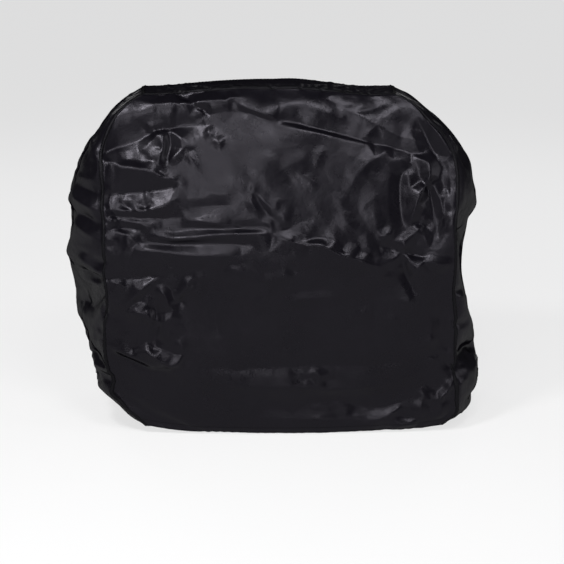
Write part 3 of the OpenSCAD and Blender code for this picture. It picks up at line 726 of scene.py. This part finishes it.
def round_shoulders(co):
    """Takes the sharp turn out of the outline where the sides meet the top."""
    p = co[SI]
    for row in (nz, nz + nx):
        for _ in range(10):
            a, b = row - 9, row + 9
            part = (p[a - 1:b - 1] + 2 * p[a:b] + p[a + 1:b + 1]) / 4
            w = (1 - (np.abs(np.arange(a, b) - row) / 9.5) ** 2)[:, None, None]
            p[a:b] = p[a:b] * (1 - w) + part * w
    co[SI.ravel()] = p.reshape(-1, 3)
    return co


CO = round_shoulders(hold_land(hold_outline(CO)))
NO = normals(CO, Q)

# ---------------------------------------------------------------- materials
def rgb(v):
    return (v[0], v[1], v[2], 1)


def material(name, build):
    m = D.materials.new(name)
    m.use_nodes = True
    nt = m.node_tree
    nt.nodes.clear()
    out = nt.nodes.new("ShaderNodeOutputMaterial")
    b = nt.nodes.new("ShaderNodeBsdfPrincipled")
    nt.links.new(b.outputs[0], out.inputs[0])
    build(nt, b)
    return m


def node(nt, kind, **k):
    n = nt.nodes.new(kind)
    for a, v in k.items():
        if a.startswith("_"):
            n.inputs[a[1:].replace("_", " ")].default_value = v
        else:
            setattr(n, a, v)
    return n


def coords(nt, scale=(1, 1, 1), rotation=(0, 0, 0)):
    tc = node(nt, "ShaderNodeTexCoord")
    mp = node(nt, "ShaderNodeMapping")
    mp.inputs["Scale"].default_value = scale
    mp.inputs["Rotation"].default_value = rotation
    nt.links.new(tc.outputs["Object"], mp.inputs[0])
    return mp.outputs[0]


def ramp(nt, src, stops):
    r = node(nt, "ShaderNodeValToRGB")
    e = r.color_ramp.elements
    while len(e) < len(stops):
        e.new(.5)
    for k, (p, v) in zip(e, stops):
        k.position = p
        k.color = rgb(v) if hasattr(v, "__len__") else (v, v, v, 1)
    nt.links.new(src, r.inputs[0])
    return r.outputs[0]


def add_math(nt, op, a, b):
    n = node(nt, "ShaderNodeMath", operation=op)
    for i, v in enumerate((a, b)):
        if hasattr(v, "is_output") or hasattr(v, "links"):
            nt.links.new(v, n.inputs[i])
        else:
            n.inputs[i].default_value = v
    return n.outputs[0]


def bump(nt, b, layers):
    """Stacks bumps: (height socket, distance, strength)."""
    last = None
    for h, dist, strength in layers:
        n = node(nt, "ShaderNodeBump", _Distance=dist, _Strength=strength)
        nt.links.new(h, n.inputs["Height"])
        if last is not None:
            nt.links.new(last, n.inputs["Normal"])
        last = n.outputs[0]
    nt.links.new(last, b.inputs["Normal"])


def vinyl(dark=(.0021, .0018, .0029), light=(.0035, .0031, .0046), rough=(.24, .36), spec=.15, relief=1.):
    def build(nt, b):
        v = coords(nt)
        cloud = node(nt, "ShaderNodeTexNoise", _Scale=5.5, _Detail=6, _Roughness=.6)
        nt.links.new(v, cloud.inputs[0])
        nt.links.new(ramp(nt, cloud.outputs[0], [(.3, dark), (.7, light)]), b.inputs["Base Color"])
        fine = node(nt, "ShaderNodeTexNoise", _Scale=60, _Detail=5, _Roughness=.65)
        nt.links.new(v, fine.inputs[0])
        mix = add_math(nt, "ADD", add_math(nt, "MULTIPLY", cloud.outputs[0], .6), add_math(nt, "MULTIPLY", fine.outputs[0], .4))
        nt.links.new(ramp(nt, mix, [(.35, rough[0]), (.65, rough[1])]), b.inputs["Roughness"])
        b.inputs["Specular Tint"].default_value = (.92, .88, 1, 1)
        face = node(nt, "ShaderNodeLayerWeight", _Blend=.5)
        nt.links.new(ramp(nt, face.outputs["Facing"], [(.0, spec), (.36, spec), (.50, spec * .5), (.62, spec * .2), (.70, spec * .06), (.80, spec * .015), (.90, 0.)]), b.inputs["Specular IOR Level"])
        crinkle = node(nt, "ShaderNodeTexNoise", _Scale=26, _Detail=4, _Roughness=.5)
        nt.links.new(v, crinkle.inputs[0])
        cell = node(nt, "ShaderNodeTexVoronoi", feature="DISTANCE_TO_EDGE", _Scale=520)
        nt.links.new(v, cell.inputs[0])
        weave = node(nt, "ShaderNodeTexNoise", _Scale=900, _Detail=2)
        nt.links.new(v, weave.inputs[0])
        bump(nt, b, [(crinkle.outputs[0], .004 * relief, .3), (fine.outputs[0], .0016 * relief, .25), (cell.outputs[0], .00025, .16), (weave.outputs[0], .0001, .12)])
    return build


VINYL = material("vinyl_black", vinyl())
VINYL_TOP = material("vinyl_black_top", vinyl(rough=(.40, .50), spec=.12, relief=.15))
TAPE = material("vinyl_tape", vinyl((.0017, .0017, .0021), (.0030, .0030, .0036), (.46, .60), .10))


def backing_build(nt, b):
    v = coords(nt)
    w1 = node(nt, "ShaderNodeTexWave", wave_type="BANDS", bands_direction="Z", _Scale=260, _Distortion=.4)
    w2 = node(nt, "ShaderNodeTexWave", wave_type="BANDS", bands_direction="X", _Scale=260, _Distortion=.4)
    nt.links.new(v, w1.inputs[0])
    nt.links.new(v, w2.inputs[0])
    cloud = node(nt, "ShaderNodeTexNoise", _Scale=9, _Detail=5)
    nt.links.new(v, cloud.inputs[0])
    nt.links.new(ramp(nt, cloud.outputs[0], [(.3, (.030, .030, .032)), (.7, (.046, .046, .048))]), b.inputs["Base Color"])
    b.inputs["Roughness"].default_value = .85
    b.inputs["Specular IOR Level"].default_value = .25
    b.inputs["Sheen Weight"].default_value = .2
    h = add_math(nt, "MULTIPLY", w1.outputs[1], w2.outputs[1])
    bump(nt, b, [(h, .0004, .5)])


BACKING = material("cloth_backing", backing_build)


def thread_build(nt, b):
    v = coords(nt)
    w = node(nt, "ShaderNodeTexWave", wave_type="BANDS", bands_direction="DIAGONAL", _Scale=1400, _Distortion=1)
    nt.links.new(v, w.inputs[0])
    nt.links.new(ramp(nt, w.outputs[1], [(0, (.0022, .0022, .0026)), (1, (.006, .006, .0066))]), b.inputs["Base Color"])
    b.inputs["Roughness"].default_value = .75
    b.inputs["Specular IOR Level"].default_value = .03
    bump(nt, b, [(w.outputs[1], .0002, .3)])


THREAD = material("thread", thread_build)


def webbing_build(nt, b):
    v = coords(nt)
    across = node(nt, "ShaderNodeTexWave", wave_type="BANDS", bands_direction="Z", _Scale=330, _Distortion=.6)
    along = node(nt, "ShaderNodeTexWave", wave_type="BANDS", bands_direction="Y", _Scale=260, _Distortion=.8)
    cloud = node(nt, "ShaderNodeTexNoise", _Scale=60, _Detail=4)
    for n in (across, along, cloud):
        nt.links.new(v, n.inputs[0])
    h = add_math(nt, "ADD", add_math(nt, "MULTIPLY", across.outputs[1], along.outputs[1]), add_math(nt, "MULTIPLY", across.outputs[1], .5))
    mix = add_math(nt, "ADD", add_math(nt, "MULTIPLY", h, .5), add_math(nt, "MULTIPLY", cloud.outputs[0], .5))
    nt.links.new(ramp(nt, mix, [(.2, (.004, .004, .0045)), (.9, (.016, .016, .017))]), b.inputs["Base Color"])
    b.inputs["Roughness"].default_value = .62
    b.inputs["Sheen Weight"].default_value = .15
    bump(nt, b, [(h, .0006, .8)])


WEBBING = material("webbing_black", webbing_build)


def plastic_build(nt, b):
    v = coords(nt)
    grain = node(nt, "ShaderNodeTexNoise", _Scale=1500, _Detail=3)
    wear = node(nt, "ShaderNodeTexNoise", _Scale=70, _Detail=6, _Roughness=.7)
    nt.links.new(v, grain.inputs[0])
    nt.links.new(v, wear.inputs[0])
    nt.links.new(ramp(nt, wear.outputs[0], [(.35, (.010, .010, .0105)), (.75, (.022, .022, .023))]), b.inputs["Base Color"])
    nt.links.new(ramp(nt, wear.outputs[0], [(.3, .32), (.75, .5)]), b.inputs["Roughness"])
    bev = node(nt, "ShaderNodeBevel", _Radius=.0006)
    bev.samples = 4
    n = node(nt, "ShaderNodeBump", _Distance=.00015, _Strength=.4)
    nt.links.new(grain.outputs[0], n.inputs["Height"])
    nt.links.new(bev.outputs[0], n.inputs["Normal"])
    nt.links.new(n.outputs[0], b.inputs["Normal"])


PLASTIC = material("buckle_plastic_black", plastic_build)


# ---------------------------------------------------------------- mesh helpers
def make(name, verts, faces, mats, index=None, smooth=True):
    me = D.meshes.new(name)
    me.from_pydata([tuple(v) for v in verts], [], [tuple(int(i) for i in q) for q in faces])
    for m in mats:
        me.materials.append(m)
    if index is not None:
        me.polygons.foreach_set("material_index", np.asarray(index, np.int32))
    me.polygons.foreach_set("use_smooth", np.full(len(me.polygons), smooth))
    me.update()
    ob = D.objects.new(name, me)
    bpy.context.scene.collection.objects.link(ob)
    return ob


def fix_normals(ob):
    import bmesh
    bm = bmesh.new()
    bm.from_mesh(ob.data)
    bmesh.ops.recalc_face_normals(bm, faces=bm.faces)
    bm.to_mesh(ob.data)
    bm.free()


def shell(g, n, t, flip, lift=0.):
    """A closed sheet of thickness t under the grid of points g with normals n, lifted off it by lift. Returns points, faces and which of them show the back."""
    r, c = g.shape[:2]
    lift = np.broadcast_to(np.asarray(lift, float), (r, c))[..., None]
    a = (g + n * lift).reshape(-1, 3)
    b = (g + n * (lift - t)).reshape(-1, 3)
    ids = np.arange(r * c).reshape(r, c)
    k = r * c
    out = quads(ids, flip)
    back = quads(ids + k, not flip)
    rim = []
    for e in (ids[0], ids[-1][::-1], ids[:, 0][::-1], ids[:, -1]):
        rim.append(np.stack([e[1:], e[:-1], e[:-1] + k, e[1:] + k], 1) if not flip else np.stack([e[:-1], e[1:], e[1:] + k, e[:-1] + k], 1))
    rim = np.vstack(rim)
    idx = np.r_[np.zeros(len(out)), np.ones(len(back)), np.zeros(len(rim))]
    return np.vstack([a, b]), np.vstack([out, back, rim]), idx


THICK = .0012
grids = {
    "front": (CO[FI], NO[FI], False),
    "back": (CO[BI], NO[BI], True),
    "left": (CO[SI[:nz + 1]], NO[SI[:nz + 1]], True),
    "top": (CO[SI[nz:nz + nx + 1]], NO[SI[nz:nz + nx + 1]], True),
    "right": (CO[SI[nz + nx:]], NO[SI[nz + nx:]], True),
}
for key, cad in (("front", "front_panel"), ("back", "back_panel"), ("top", "top_panel"), ("left", "left_side_panel"), ("right", "right_side_panel")):
    g, n, flip = grids[key]
    v, q, idx = shell(g, n, THICK, flip)
    ob = make(key + "_cloth", v, q, [VINYL_TOP if key == "top" else VINYL, BACKING], idx)
    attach(ob, "cover")
    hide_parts(cad)


def area(g):
    a = np.cross(g[1:, 1:] - g[:-1, :-1], g[1:, :-1] - g[:-1, 1:])
    return float(np.linalg.norm(a, axis=-1).sum() / 2)


for key in grids:
    print("area", key, round(area(grids[key][0]), 4))

# ---------------------------------------------------------------- seam tapes, hems and stitching
def along(p, n, pitch=.0046):
    """Evenly spaced places along a line of points, with the direction and the normal at each."""
    d = np.r_[0, np.cumsum(np.linalg.norm(np.diff(p, axis=0), axis=1))]
    t = np.arange(pitch * .5, d[-1], pitch)
    c = np.stack([np.interp(t, d, p[:, k]) for k in range(3)], 1)
    c2 = np.stack([np.interp(t + .0004, d, p[:, k]) for k in range(3)], 1)
    m = np.stack([np.interp(t, d, n[:, k]) for k in range(3)], 1)
    u = c2 - c
    u /= np.maximum(np.linalg.norm(u, axis=1, keepdims=True), 1e-12)
    m -= u * (u * m).sum(1, keepdims=True)
    m /= np.maximum(np.linalg.norm(m, axis=1, keepdims=True), 1e-12)
    return c, u, m


def stitches(name, runs, half=.00165, r=.00042):
    """A row of thread stitches along each run of (points, normals)."""
    vs, fs, base = [], [], 0
    f = [(0, 1, 5, 4), (1, 2, 6, 5), (2, 3, 7, 6), (3, 0, 4, 7), (8, 1, 0), (8, 2, 1), (8, 3, 2), (8, 0, 3), (9, 4, 5), (9, 5, 6), (9, 6, 7), (9, 7, 4)]
    for p, n in runs:
        c, u, m = along(np.asarray(p), np.asarray(n))
        if len(c) == 0:
            continue
        w = np.cross(u, m)
        ring = [w * r, m * r, -w * r, -m * r * .6]
        c = c + m * r * .35
        k = [c - u * half * .6 + q for q in ring] + [c + u * half * .6 + q for q in ring] + [c - u * half - m * r * .5, c + u * half - m * r * .5]
        vs.append(np.stack(k, 1).reshape(-1, 3))
        for s_ in range(len(c)):
            fs += [tuple(base + 10 * s_ + i for i in q) for q in f]
        base += 10 * len(c)
    ob = make(name, np.vstack(vs), fs, [THREAD])
    fix_normals(ob)
    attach(ob, "cover")
    return ob


def inner_line(net_g, net_n, step):
    """The line of points step cells in from the seam on the front or back net, in the seam's order."""
    a = [net_g[:nz - step + 1, step], net_g[nz - step, step + 1:nx - step], net_g[:nz - step + 1, nx - step][::-1]]
    b = [net_n[:nz - step + 1, step], net_n[nz - step, step + 1:nx - step], net_n[:nz - step + 1, nx - step][::-1]]
    return np.vstack(a), np.vstack(b)


def to_count(p, n):
    """A line resampled to n points by its own length."""
    d = np.r_[0, np.cumsum(np.linalg.norm(np.diff(p, axis=0), axis=1))]
    t = np.linspace(0, d[-1], n)
    return np.stack([np.interp(t, d, p[:, k]) for k in range(3)], 1)


def seam_neighbours(net_g, net_n):
    """For each seam point, the point of the front or back net one cell in from it."""
    k = np.arange(2 * nz + nx + 1)
    r = np.where(k <= nz, k, np.where(k < nz + nx, nz - 1, 2 * nz + nx - k))
    c = np.where(k <= nz, 1, np.where(k < nz + nx, k - nz, nx - 1))
    r = np.clip(r, 0, nz - 1)
    c = np.clip(c, 1, nx - 1)
    return net_g[r, c], net_n[r, c]


def tape(name, left_p, left_n, mid_p, mid_n, right_p, right_n, nodes, half=.0056):
    """A folded tape sewn over a seam: it lies on the cloth on both sides, and stands a little proud along its two stitched edges."""
    cols, norm = [], []
    for q, m, sgn in ((left_p, left_n, 1), (None, None, 0), (right_p, right_n, 1)):
        if q is None:
            cols.append([mid_p])
            norm.append([mid_n])
            continue
        d = q - mid_p
        d /= np.maximum(np.linalg.norm(d, axis=1, keepdims=True), 1e-9)
        part = [(mid_p + d * half * t, m * t + mid_n * (1 - t)) for t in (1., .72, .36)]
        cols.append([a for a, b in part])
        norm.append([b for a, b in part])
    g = np.stack(cols[0] + cols[1] + cols[2][::-1], 1)
    n = np.stack(norm[0] + norm[1] + norm[2][::-1], 1)
    n /= np.linalg.norm(n, axis=-1, keepdims=True)
    lift = np.array([.0006, .0013, .0012, .0012, .0012, .0013, .0006])
    v, q, idx = shell(g, n, .0005, False, lift[None, :])
    ob = make(name, v, q, [TAPE])
    fix_normals(ob)
    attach(ob, "cover")
    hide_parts(*nodes)
    runs = [(g[:, 1] + n[:, 1] * .0013, n[:, 1]), (g[:, 5] + n[:, 5] * .0013, n[:, 5])]
    st = stitches(name + "_stitches", runs)
    return ob, st


sewn = {k: [] for k in grids}
GS, NS = CO[SI], NO[SI]
for key, ids, j in (("front", FI, 0), ("back", BI, ny)):
    net_p, net_n = CO[ids], NO[ids]
    a, an = seam_neighbours(net_p, net_n)
    jj = j + (1 if j == 0 else -1)
    left, right = (a, an), (GS[:, jj], NS[:, jj])
    if key == "back":
        left, right = right, left
    sewn[key] += tape(key + "_seam_tape_sewn", *left, GS[:, j], NS[:, j], *right, [key + "_seam_tape"])
for key, row in (("left", nz), ("right", nz + nx)):
    sewn[key] += tape(key + "_shoulder_tape_sewn", GS[row - 1, 2:-2], NS[row - 1, 2:-2], GS[row, 2:-2], NS[row, 2:-2], GS[row + 1, 2:-2], NS[row + 1, 2:-2], [key + "_shoulder_tape"])


def hem(key, g, n, node_name):
    """The cloth's bottom edge turned up inside: a second layer behind the panel, a rounded fold under its edge, and one row of stitches that shows outside. g runs upward from the edge."""
    rows = 6
    prof = []
    for k in range(rows, -1, -1):
        prof.append((g[k], n[k], -THICK - .0022 + .0006 * k / rows))
    down = g[0] - g[1]
    down /= np.linalg.norm(down, axis=1, keepdims=True)
    mid = -THICK / 2 - .0006
    ring = [(mid - .0019 * math.cos(a), .0019 * math.sin(a) + .0004) for a in (.25, .8, 1.35, 1.8, 2.35, 2.9)]
    pts = [p + m * h for p, m, h in prof]
    nn = [-m for p, m, h in prof]
    for h, dwn in ring:
        pts.append(g[0] + n[0] * h + down * dwn)
        q = n[0] * (h - mid) + down * dwn
        nn.append(q / np.linalg.norm(q, axis=1, keepdims=True))
    pts.append(g[0] + n[0] * .0006 - down * .0012)
    nn.append(n[0].copy())
    P, M = np.stack(pts, 0), np.stack(nn, 0)
    flip = np.dot(np.cross(P[0, 1] - P[0, 0], P[1, 0] - P[0, 0]), M[0, 0]) < 0
    v, q, idx = shell(P, M, .0007, flip, .0)
    ob = make(key + "_hem_turned", v, q, [VINYL])
    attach(ob, "cover")
    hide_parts(node_name)
    line = g[5] * .9 + g[4] * .1
    lo = line[2:-2] + n[5][2:-2] * .0002
    st = stitches(key + "_hem_stitches", [(lo, n[5][2:-2])])
    return ob, st


sewn["front"] += hem("front", CO[FI][:, 1:-1], NO[FI][:, 1:-1], "front_hem")
sewn["back"] += hem("back", CO[BI][:, 1:-1], NO[BI][:, 1:-1], "back_hem")
sewn["left"] += hem("left", GS[:nz + 1, 1:-1], NS[:nz + 1, 1:-1], "left_hem")
sewn["right"] += hem("right", GS[::-1][:nz + 1, 1:-1], NS[::-1][:nz + 1, 1:-1], "right_hem")

# ---------------------------------------------------------------- straps
STRAP_Z = -.7515
M_ = -.030
FRONT_PATH = [(-141, 1.2), (-104, 1.2), (-84, 1.4), (-77, 2.3), (-68.2, 2.3), (-66.6, 3.2), (-66.2, 4.4), (-66.2, 7.6), (-66.6, 8.8), (-68.2, 9.7), (-73, 9.7), (-76.5, 8.2), (-81, 4.6), (-86, 3.1), (-98, 2.9)]
REAR_PATH = [(141, 1.2), (104, 1.2), (92, 1.7), (-16, 1.7), (-18, 2.3), (-18.5, 3.4), (-18.5, 8.2), (-18, 9.2), (-16.8, 9.7), (-12.7, 9.7), (-11.5, 9.2), (-11, 8.2), (-11, 4.6), (-10.5, 3.7), (-9.2, 3.2), (68, 3.2)]


def ribbon(name, path, side, width=.025, thick=.0014):
    """A webbing strap swept along a path of (y, height off the panel), millimetres. side is -1 on the left and 1 on the right."""
    p = np.array(path, float) / 1000
    q = [p[0]]
    for k in range(1, len(p)):
        n = max(1, int(np.linalg.norm(p[k] - p[k - 1]) / .004))
        for i in range(1, n + 1):
            q.append(p[k - 1] + (p[k] - p[k - 1]) * i / n)
    q = np.array(q)
    for _ in range(1):
        q[1:-1] = (q[:-2] + 2 * q[1:-1] + q[2:]) / 4
    t = np.gradient(q, axis=0)
    t /= np.linalg.norm(t, axis=1, keepdims=True)
    n = np.stack([-t[:, 1], t[:, 0]], 1)
    s_ = np.linspace(-1, 1, 13)
    sec = [(a * width / 2, thick / 2 * (1 - abs(a) ** 8 * .75)) for a in s_]
    ring = [(a, b) for a, b in sec] + [(a, -b) for a, b in sec[::-1]]
    x0 = -.455 if side < 0 else .533
    verts = []
    for k in range(len(q)):
        for a, b in ring:
            y, h = q[k] + n[k] * b
            verts.append((x0 + side * h, y, STRAP_Z + a))
    m = len(ring)
    faces = []
    for k in range(len(q) - 1):
        for i in range(m):
            j_ = (i + 1) % m
            faces.append((k * m + i, k * m + j_, (k + 1) * m + j_, (k + 1) * m + i))
    faces.append(tuple(range(m))[::-1])
    faces.append(tuple((len(q) - 1) * m + i for i in range(m)))
    if side * (1 if q[-1][0] > q[0][0] else 1) > 0:
        faces = [f[::-1] for f in faces]
    ob = make(name, verts, faces, [WEBBING])
    return ob


def patch(name, side, y0, y1, node_name):
    """A vinyl patch sewn over the end of a strap: it lies on the panel round its edge, and rises over the webbing."""
    n1, n2 = 30, 30
    u = np.linspace(-1, 1, n1 + 1)
    v = np.linspace(-1, 1, n2 + 1)
    U, V = np.meshgrid(u, v, indexing="ij")
    cy, ry, rz = (y0 + y1) / 2, abs(y1 - y0) / 2, .024
    # a square net with rounded corners
    k = 1 - .075 * (np.abs(U) ** 6) * (np.abs(V) ** 6) * 2.2
    Y, Z = cy + U * ry * k, V * rz * k
    over = smooth01((.0155 - np.abs(Z)) / .005) * smooth01((.142 - np.abs(Y)) / .004 + .4)
    edge = np.minimum(ry - np.abs(Y - cy), rz - np.abs(Z))
    h = .0013 + over * .0016 - .0007 * (1 - smooth01(edge / .0022))
    sew = np.exp(-((edge - .0042) / .0008) ** 2)
    h = h - .00035 * sew + .0001 * np.sin(Y * 900) * np.cos(Z * 700)
    x0 = -.455 if side < 0 else .533
    g = np.stack([x0 + side * h, Y, STRAP_Z + Z], -1)
    n = np.zeros_like(g)
    n[..., 0] = side
    flip = np.dot(np.cross(g[1, 0] - g[0, 0], g[0, 1] - g[0, 0]), n[0, 0]) > 0
    w = np.cross(np.gradient(g, axis=0), np.gradient(g, axis=1))
    w /= np.linalg.norm(w, axis=-1, keepdims=True)
    if (w * n).sum() < 0:
        w = -w
    f = quads(np.arange(g.shape[0] * g.shape[1]).reshape(g.shape[:2]), False)
    vv, q, idx = shell(g, n, .0009, False, 0.)
    ob = make(name, vv, q, [TAPE])
    fix_normals(ob)
    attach(ob, "cover")
    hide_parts(node_name)

    def on(y, z):
        i = np.clip((y - (cy - ry)) / (2 * ry), 0, 1) * n1
        j_ = np.clip((z + rz) / (2 * rz), 0, 1) * n2
        hh = h[int(round(i)), int(round(j_))]
        return (x0 + side * (hh + .0001), y, STRAP_Z + z)

    a, b = ry - .0042, rz - .0042
    path = [(-a, -b), (a, -b), (a, b), (-a, b), (-a, -b)]
    runs = []
    for p, q_ in zip(path[:-1], path[1:]):
        runs.append(([on(cy + p[0] + (q_[0] - p[0]) * t, p[1] + (q_[1] - p[1]) * t) for t in np.linspace(0, 1, 14)], [(side, 0, 0)] * 14))
    a2, b2 = a - .003, .0105
    box = [(-a2, -b2), (a2, -b2), (a2, b2), (-a2, b2), (-a2, -b2)]
    for p, q_ in list(zip(box[:-1], box[1:])) + [((-a2, -b2), (a2, b2)), ((-a2, b2), (a2, -b2))]:
        runs.append(([on(cy + p[0] + (q_[0] - p[0]) * t, p[1] + (q_[1] - p[1]) * t) for t in np.linspace(0, 1, 12)], [(side, 0, 0)] * 12))
    st = stitches(name + "_stitches", runs)
    return ob, st


for side, tag in ((-1, "left"), (1, "right")):
    x0 = -.455 if side < 0 else .533
    fs_ = ribbon(tag + "_front_webbing", FRONT_PATH, side)
    fix_normals(fs_)
    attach(fs_, "cover")
    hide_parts(tag + "_front_strap")
    rs = ribbon(tag + "_rear_webbing", REAR_PATH, side)
    fix_normals(rs)
    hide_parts(tag + "_rear_strap")
    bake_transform(rs)
    sewn[tag] += [fs_, rs]
    sewn[tag] += patch(tag + "_front_patch_sewn", side, -.146, -.102, tag + "_front_patch")
    sewn[tag] += patch(tag + "_rear_patch_sewn", side, .102, .146, tag + "_rear_patch")
    # the keeper: a narrow loop of webbing round both layers of the rear strap
    loop = []
    for a in np.linspace(0, 2 * math.pi, 40, endpoint=False):
        c_, s2 = math.cos(a), math.sin(a)
        zz = .0150 * math.copysign(abs(c_) ** .22, c_)
        hh = .00265 + .00215 * math.copysign(abs(s2) ** .55, s2)
        loop.append((zz, hh))
    loop = np.array(loop)
    verts, faces = [], []
    yy = np.linspace(.034, .043, 7)
    m = len(loop)
    cen = loop.mean(0)
    for layer, off in ((0, .00035), (1, -.0004)):
        for k, y in enumerate(yy):
            taper = 1 - .35 * (abs(k - 3) / 3) ** 6
            for zz, hh in loop:
                nn = np.array([(zz - cen[0]) / .015 ** 2, (hh - cen[1]) / .0022 ** 2])
                nn /= np.linalg.norm(nn)
                verts.append((x0 + side * (hh + nn[1] * off * taper), y, STRAP_Z + zz + nn[0] * off * taper))
    L = len(yy) * m
    for k in range(len(yy) - 1):
        for i in range(m):
            j_ = (i + 1) % m
            a, b, c_, d_ = k * m + i, k * m + j_, (k + 1) * m + j_, (k + 1) * m + i
            faces.append((a, b, c_, d_))
            faces.append((d_ + L, c_ + L, b + L, a + L))
    for k in (0, len(yy) - 1):
        for i in range(m):
            j_ = (i + 1) % m
            q = (k * m + i, k * m + j_, k * m + j_ + L, k * m + i + L)
            faces.append(q if k else q[::-1])
    kp = make(tag + "_keeper_loop", verts, faces, [WEBBING])
    fix_normals(kp)
    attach(kp, "cover")
    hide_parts(tag + "_strap_keeper")
    sewn[tag].append(kp)

# ---------------------------------------------------------------- the moulded buckles keep their CAD shape
for name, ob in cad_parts.items():
    if "buckle" in name:
        for sl in ob.material_slots:
            sl.material = PLASTIC

# ---------------------------------------------------------------- stage, lights and camera
FLOOR = float(CO[:, 2].min()) - .0035


def floor():
    r = 30.
    ob = make("studio_floor", [(-r, -r, FLOOR), (r, -r, FLOOR), (r, r, FLOOR), (-r, r, FLOOR)], [(0, 1, 2, 3)], [D.materials.new("floor")])
    m = ob.data.materials[0]
    m.use_nodes = True
    b = m.node_tree.nodes["Principled BSDF"]
    b.inputs["Base Color"].default_value = (.24, .24, .24, 1)
    b.inputs["Roughness"].default_value = .9
    b.inputs["Specular IOR Level"].default_value = .05
    b.inputs["Emission Color"].default_value = (1, 1, 1, 1)
    b.inputs["Emission Strength"].default_value = .70


floor()


def area_light(name, loc, target, size, energy, color=(1, 1, 1)):
    l = D.lights.new(name, "AREA")
    l.shape = "RECTANGLE"
    l.size, l.size_y = size
    l.energy = energy
    l.color = color
    ob = D.objects.new(name, l)
    bpy.context.scene.collection.objects.link(ob)
    ob.location = loc
    ob.rotation_euler = (Vector(target) - Vector(loc)).to_track_quat("-Z", "Y").to_euler()
    return ob


area_light("softbox_key", (-1.1, -6.0, 1.45), (0, 0, -.30), (1.9, .9), 76)
area_light("softbox_mid", (-.7, -3.05, 1.60), (0, 0, -.30), (1.1, .6), 11)
area_light("softbox_top", (.45, -2.3, 1.85), (.1, 0, -.20), (.9, .6), 36)
area_light("softbox_fan", (-1.1, -1.9, 1.75), (-.35, 0, -.20), (.6, .4), 54)
area_light("softbox_low", (.8, -5.8, -.20), (.1, 0, -.65), (1.4, .35), 10)
area_light("softbox_left", (-2.8, -2.4, .5), (0, 0, -.35), (.7, 1.4), 6)
area_light("softbox_right", (3.0, -1.3, .6), (0, 0, -.35), (1.0, 2.0), 20)
area_light("softbox_back_left", (-1.9, 3.2, 1.7), (0, 0, -.35), (1.2, 1.0), 20)
area_light("softbox_back_right", (1.7, 3.4, 1.9), (0, 0, -.35), (1.2, 1.0), 20)
world = D.worlds.new("world")
bpy.context.scene.world = world
world.use_nodes = True
world.node_tree.nodes["Background"].inputs[0].default_value = (.92, .91, 1, 1)
world.node_tree.nodes["Background"].inputs[1].default_value = .10

cam = D.cameras.new("camera")
cam.lens = 127.66
cam.sensor_width = 36
cam.dof.use_dof = False
co = D.objects.new("camera", cam)
bpy.context.scene.collection.objects.link(co)
target = Vector((.027, 0, -.540))
az, el = math.radians(-1.5), math.radians(13.5)
back = Vector((math.sin(az) * math.cos(el), -math.cos(az) * math.cos(el), math.sin(el)))
co.location = target + back * 5.3
co.rotation_euler = back.to_track_quat("Z", "Y").to_euler()
bpy.context.scene.camera = co
bpy.context.scene.view_settings.view_transform = "Standard"
